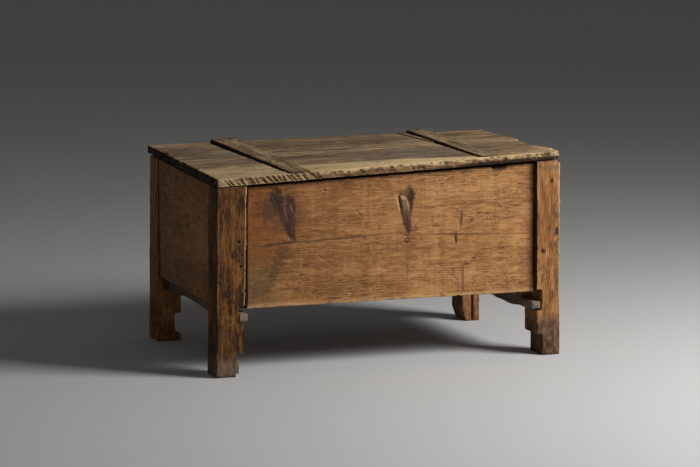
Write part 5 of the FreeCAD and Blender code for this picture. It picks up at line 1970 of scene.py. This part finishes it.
@dataclass
class Lid:
    """The lid: two boards in wind, two battens and a wedge.

    Attributes are the colours of its marks, and the seed of its cuts.
    """

    grey: Colour = (0.105, 0.085, 0.075)
    brown: Colour = (0.115, 0.068, 0.042)
    rind: Colour = (0.175, 0.088, 0.036)
    fawn: Colour = (0.36, 0.25, 0.17)
    seed: int = 5

    def hack_marks(self) -> list[Gouge]:
        """Slanting axe cuts along the left of the front edge, and small bites along the rest."""
        chance = np.random.default_rng(self.seed)
        cuts = []
        for x in -0.540 + np.cumsum(chance.uniform(0.006, 0.018, 25)):
            top = LID.top(x, LID_FRONT)
            wide, deep = chance.uniform(0.0020, 0.0040), chance.uniform(0.0025, 0.0085)
            lip = (x - 0.002, LID_FRONT + 0.001, top - 0.001)
            back = (x - 0.011, LID_FRONT + chance.uniform(0.008, 0.018), top)
            foot = (x + chance.uniform(0.008, 0.026), LID_FRONT, top - 0.027)
            cuts += [Gouge(back, lip, wide * 0.8, deep * 0.6), Gouge(lip, foot, wide, deep)]
        for x in np.arange(-0.22, 0.545, 0.013):
            x = x + chance.uniform(-0.006, 0.006)
            drop = chance.uniform(0.0, 0.018)
            spot = (x, LID_FRONT + 0.001, LID.top(x, LID_FRONT) - drop)
            way = (chance.uniform(-1, 1), 0.4, chance.uniform(-0.6, 0.6))
            cuts.append(stroke(spot, way, chance.uniform(0.006, 0.022), chance.uniform(0.003, 0.006),
                               chance.uniform(0.0015, 0.0045)))
        return cuts

    def end_bites(self) -> list[Gouge]:
        """Broken spots along the right end and nicks in the left edge."""
        chance = np.random.default_rng(self.seed + 1)
        bites = []
        for y in np.arange(-0.36, 0.01, 0.008):
            x = 0.548 + chance.uniform(-0.012, 0.010)
            spot = (x, y, LID.top(x, y) - chance.uniform(0.0, 0.02))
            way = (1.0, chance.uniform(-0.3, 0.3), chance.uniform(-0.4, 0.4))
            bites.append(stroke(spot, way, chance.uniform(0.008, 0.03), chance.uniform(0.003, 0.006),
                                chance.uniform(0.003, 0.012)))
        for y in (-0.31, -0.262, -0.215, -0.15, -0.098, -0.031, 0.045, 0.12, 0.195, 0.215, 0.29):
            y = y + chance.uniform(-0.01, 0.01)
            bites.append(stroke(LID.on(LID_LEFT, y), (0.2, 0.3, -1), 0.03,
                                chance.uniform(0.004, 0.010), chance.uniform(0.003, 0.007)))
        return bites

    def boards(self) -> None:
        """Builds the two lid boards."""
        front = LidBoard(
            "lid_board_front", "lid", "lid_pine", Weather(0.0031, 13, 0.0012, 0.0011, Grain.ALONG_X, 81),
            end_marks=((LID_FRONT, 0.541), (-0.285, 0.553), (-0.205, 0.553), (-0.125, 0.543), (0.01175, 0.562)),
            marks=[Mark((0.0, -0.3655, 0.585), (0.62, 0.010, 0.5), self.rind, soft=0.6, ragged=0.5, strength=0.8),
                   Mark((0.17, -0.15, 0.61), (0.18, 0.12, 0.2), self.grey, soft=0.9, ragged=1.2, strength=0.5),
                   Mark((-0.10, -0.08, 0.60), (0.24, 0.09, 0.2), self.brown, soft=0.9, ragged=1.3, strength=0.40),
                   Mark((0.46, -0.12, 0.61), (0.10, 0.10, 0.2), self.brown, soft=0.9, ragged=1.3, strength=0.4)],
            gouges=[*self.hack_marks(), *self.end_bites(),
                    Gouge(LID.on(-0.320, -0.356), LID.on(-0.262, -0.353), 0.0035, 0.006),
                    Gouge((0.292, -0.350, LID.top(0.29, -0.35)), (0.352, -0.347, LID.top(0.35, -0.347)),
                          0.003, 0.005)],
        )
        front.make(LID_PINE)
        rear = LidBoard(
            "lid_board_rear", "lid", "lid_pine", Weather(0.0034, 9, 0.0014, 0.0011, Grain.ALONG_X, 84),
            low_y=0.01225, high_y=LID_REAR, end_marks=((0.01225, 0.571), (LID_REAR, 0.597)), wedged=True,
            marks=[Mark((0.05, 0.20, 0.61), (0.30, 0.10, 0.2), self.brown, soft=0.9, ragged=1.3, strength=0.40),
                   Mark((-0.42, 0.12, 0.60), (0.10, 0.16, 0.2), self.grey, soft=0.9, ragged=1.2, strength=0.4),
                   Mark((0.50, 0.03, 0.62), (0.07, 0.012, 0.2), self.fawn, soft=0.7, ragged=0.8, strength=0.7)],
            gouges=[*self.end_bites()[-5:], Gouge(LID.on(LID_LEFT, 0.174), LID.on(LID_LEFT, 0.204), 0.012, 0.010)],
        )
        rear.make(LID_PINE)

    def battens(self) -> None:
        """Builds the battens and the wedge."""
        for index, (side, form) in enumerate(BATTENS.items()):
            weather = Weather(0.0026, 14, 0.0016, 0.0009, Grain.ALONG_Y, 91 + index)
            Batten(f"lid_batten_{side.name.lower()}", "lid", "lid_pine", weather, form=form).make(LID_PINE)
        Wedge("lid_wedge", "lid", "lid_pine", Weather(0.0016, 4, 0.0006, 0.0005, Grain.ALONG_Y, 95)).make(LID_PINE)

    def build(self) -> None:
        """Builds the whole lid."""
        self.boards()
        self.battens()


@dataclass
class Studio:
    """Floor, light and camera.

    Attributes:
        eye: Place of the camera from the middle of the posts.
        yaw: Turn of the view to the right, in degrees.
        pitch: Tilt of the view downwards, in degrees.
        sensor: Width of the sensor in millimetres.
        lens: Focal length in millimetres.
        aim: What the lamps look at.
        paint: Colour of the floor.
        sky: Colour of the light from all round.
    """

    eye: Spot = (-2.759, -7.481, 1.508)
    yaw: float = 20.23
    pitch: float = 8.25
    sensor: float = 36.0
    lens: float = 2600 / 700 * 36
    aim: Spot = (0.0, 0.0, 0.3)
    paint: Colour = (0.50, 0.50, 0.49)
    sky: Colour = (0.90, 0.885, 0.865)

    def camera(self) -> None:
        """Sets up the camera at the photographed angle."""
        data = bpy.data.cameras.new("camera")
        data.sensor_width = self.sensor
        data.lens = self.lens
        data.clip_end = 200.0
        obj = bpy.data.objects.new("camera", data)
        obj.location = Vector(self.eye) + SHIFT
        obj.rotation_euler = (math.radians(90 - self.pitch), 0.0, math.radians(-self.yaw))
        bpy.context.scene.collection.objects.link(obj)
        bpy.context.scene.camera = obj

    def lamp(self, name: str, place: Spot, size: float, power: float) -> None:
        """Hangs a soft square lamp that looks at the chest.

        Args:
            name: Its name.
            place: Where it hangs.
            size: Its width.
            power: Its strength in watts.
        """
        data = bpy.data.lights.new(name, "AREA")
        data.size = size
        data.energy = power
        obj = bpy.data.objects.new(name, data)
        obj.location = place
        obj.rotation_euler = (Vector(self.aim) - Vector(place)).to_track_quat("-Z", "Y").to_euler()
        bpy.context.scene.collection.objects.link(obj)

    def floor(self) -> None:
        """Lays a wide, plain, flat floor."""
        obj = shape(bpy.ops.mesh.primitive_plane_add, "floor", size=60.0, location=(0.0, 0.0, 0.0))
        stuff = bpy.data.materials.new("floor_paint")
        stuff.use_nodes = True
        shader = stuff.node_tree.nodes["Principled BSDF"]
        for label, value in (("Base Color", (*self.paint, 1.0)), ("Roughness", 0.7), ("Specular IOR Level", 0.15)):
            shader.inputs[label].default_value = value
        obj.data.materials.append(stuff)

    def build(self) -> None:
        """Sets up the whole studio."""
        scene = bpy.context.scene
        scene.view_settings.view_transform = "Standard"
        world = bpy.data.worlds.new("studio")
        world.use_nodes = True
        light = world.node_tree.nodes["Background"]
        light.inputs["Color"].default_value = (*self.sky, 1.0)
        light.inputs["Strength"].default_value = 0.10
        scene.world = world
        self.floor()
        self.lamp("key", (2.4, -2.3, 2.4), 1.5, 195.0)
        self.lamp("fill", (-1.0, -5.5, 2.4), 3.0, 14.0)
        self.camera()


def main() -> None:
    """Builds the chest piece by piece and sets up the studio."""
    logging.basicConfig(level=logging.INFO, format="%(message)s")
    Carcass().build()
    Lid().build()
    Hinge("left", -0.271, Side.LEFT).build()
    Hinge("right", 0.366, Side.RIGHT).build()
    Studio().build()


if __name__ == "__main__":
    main()
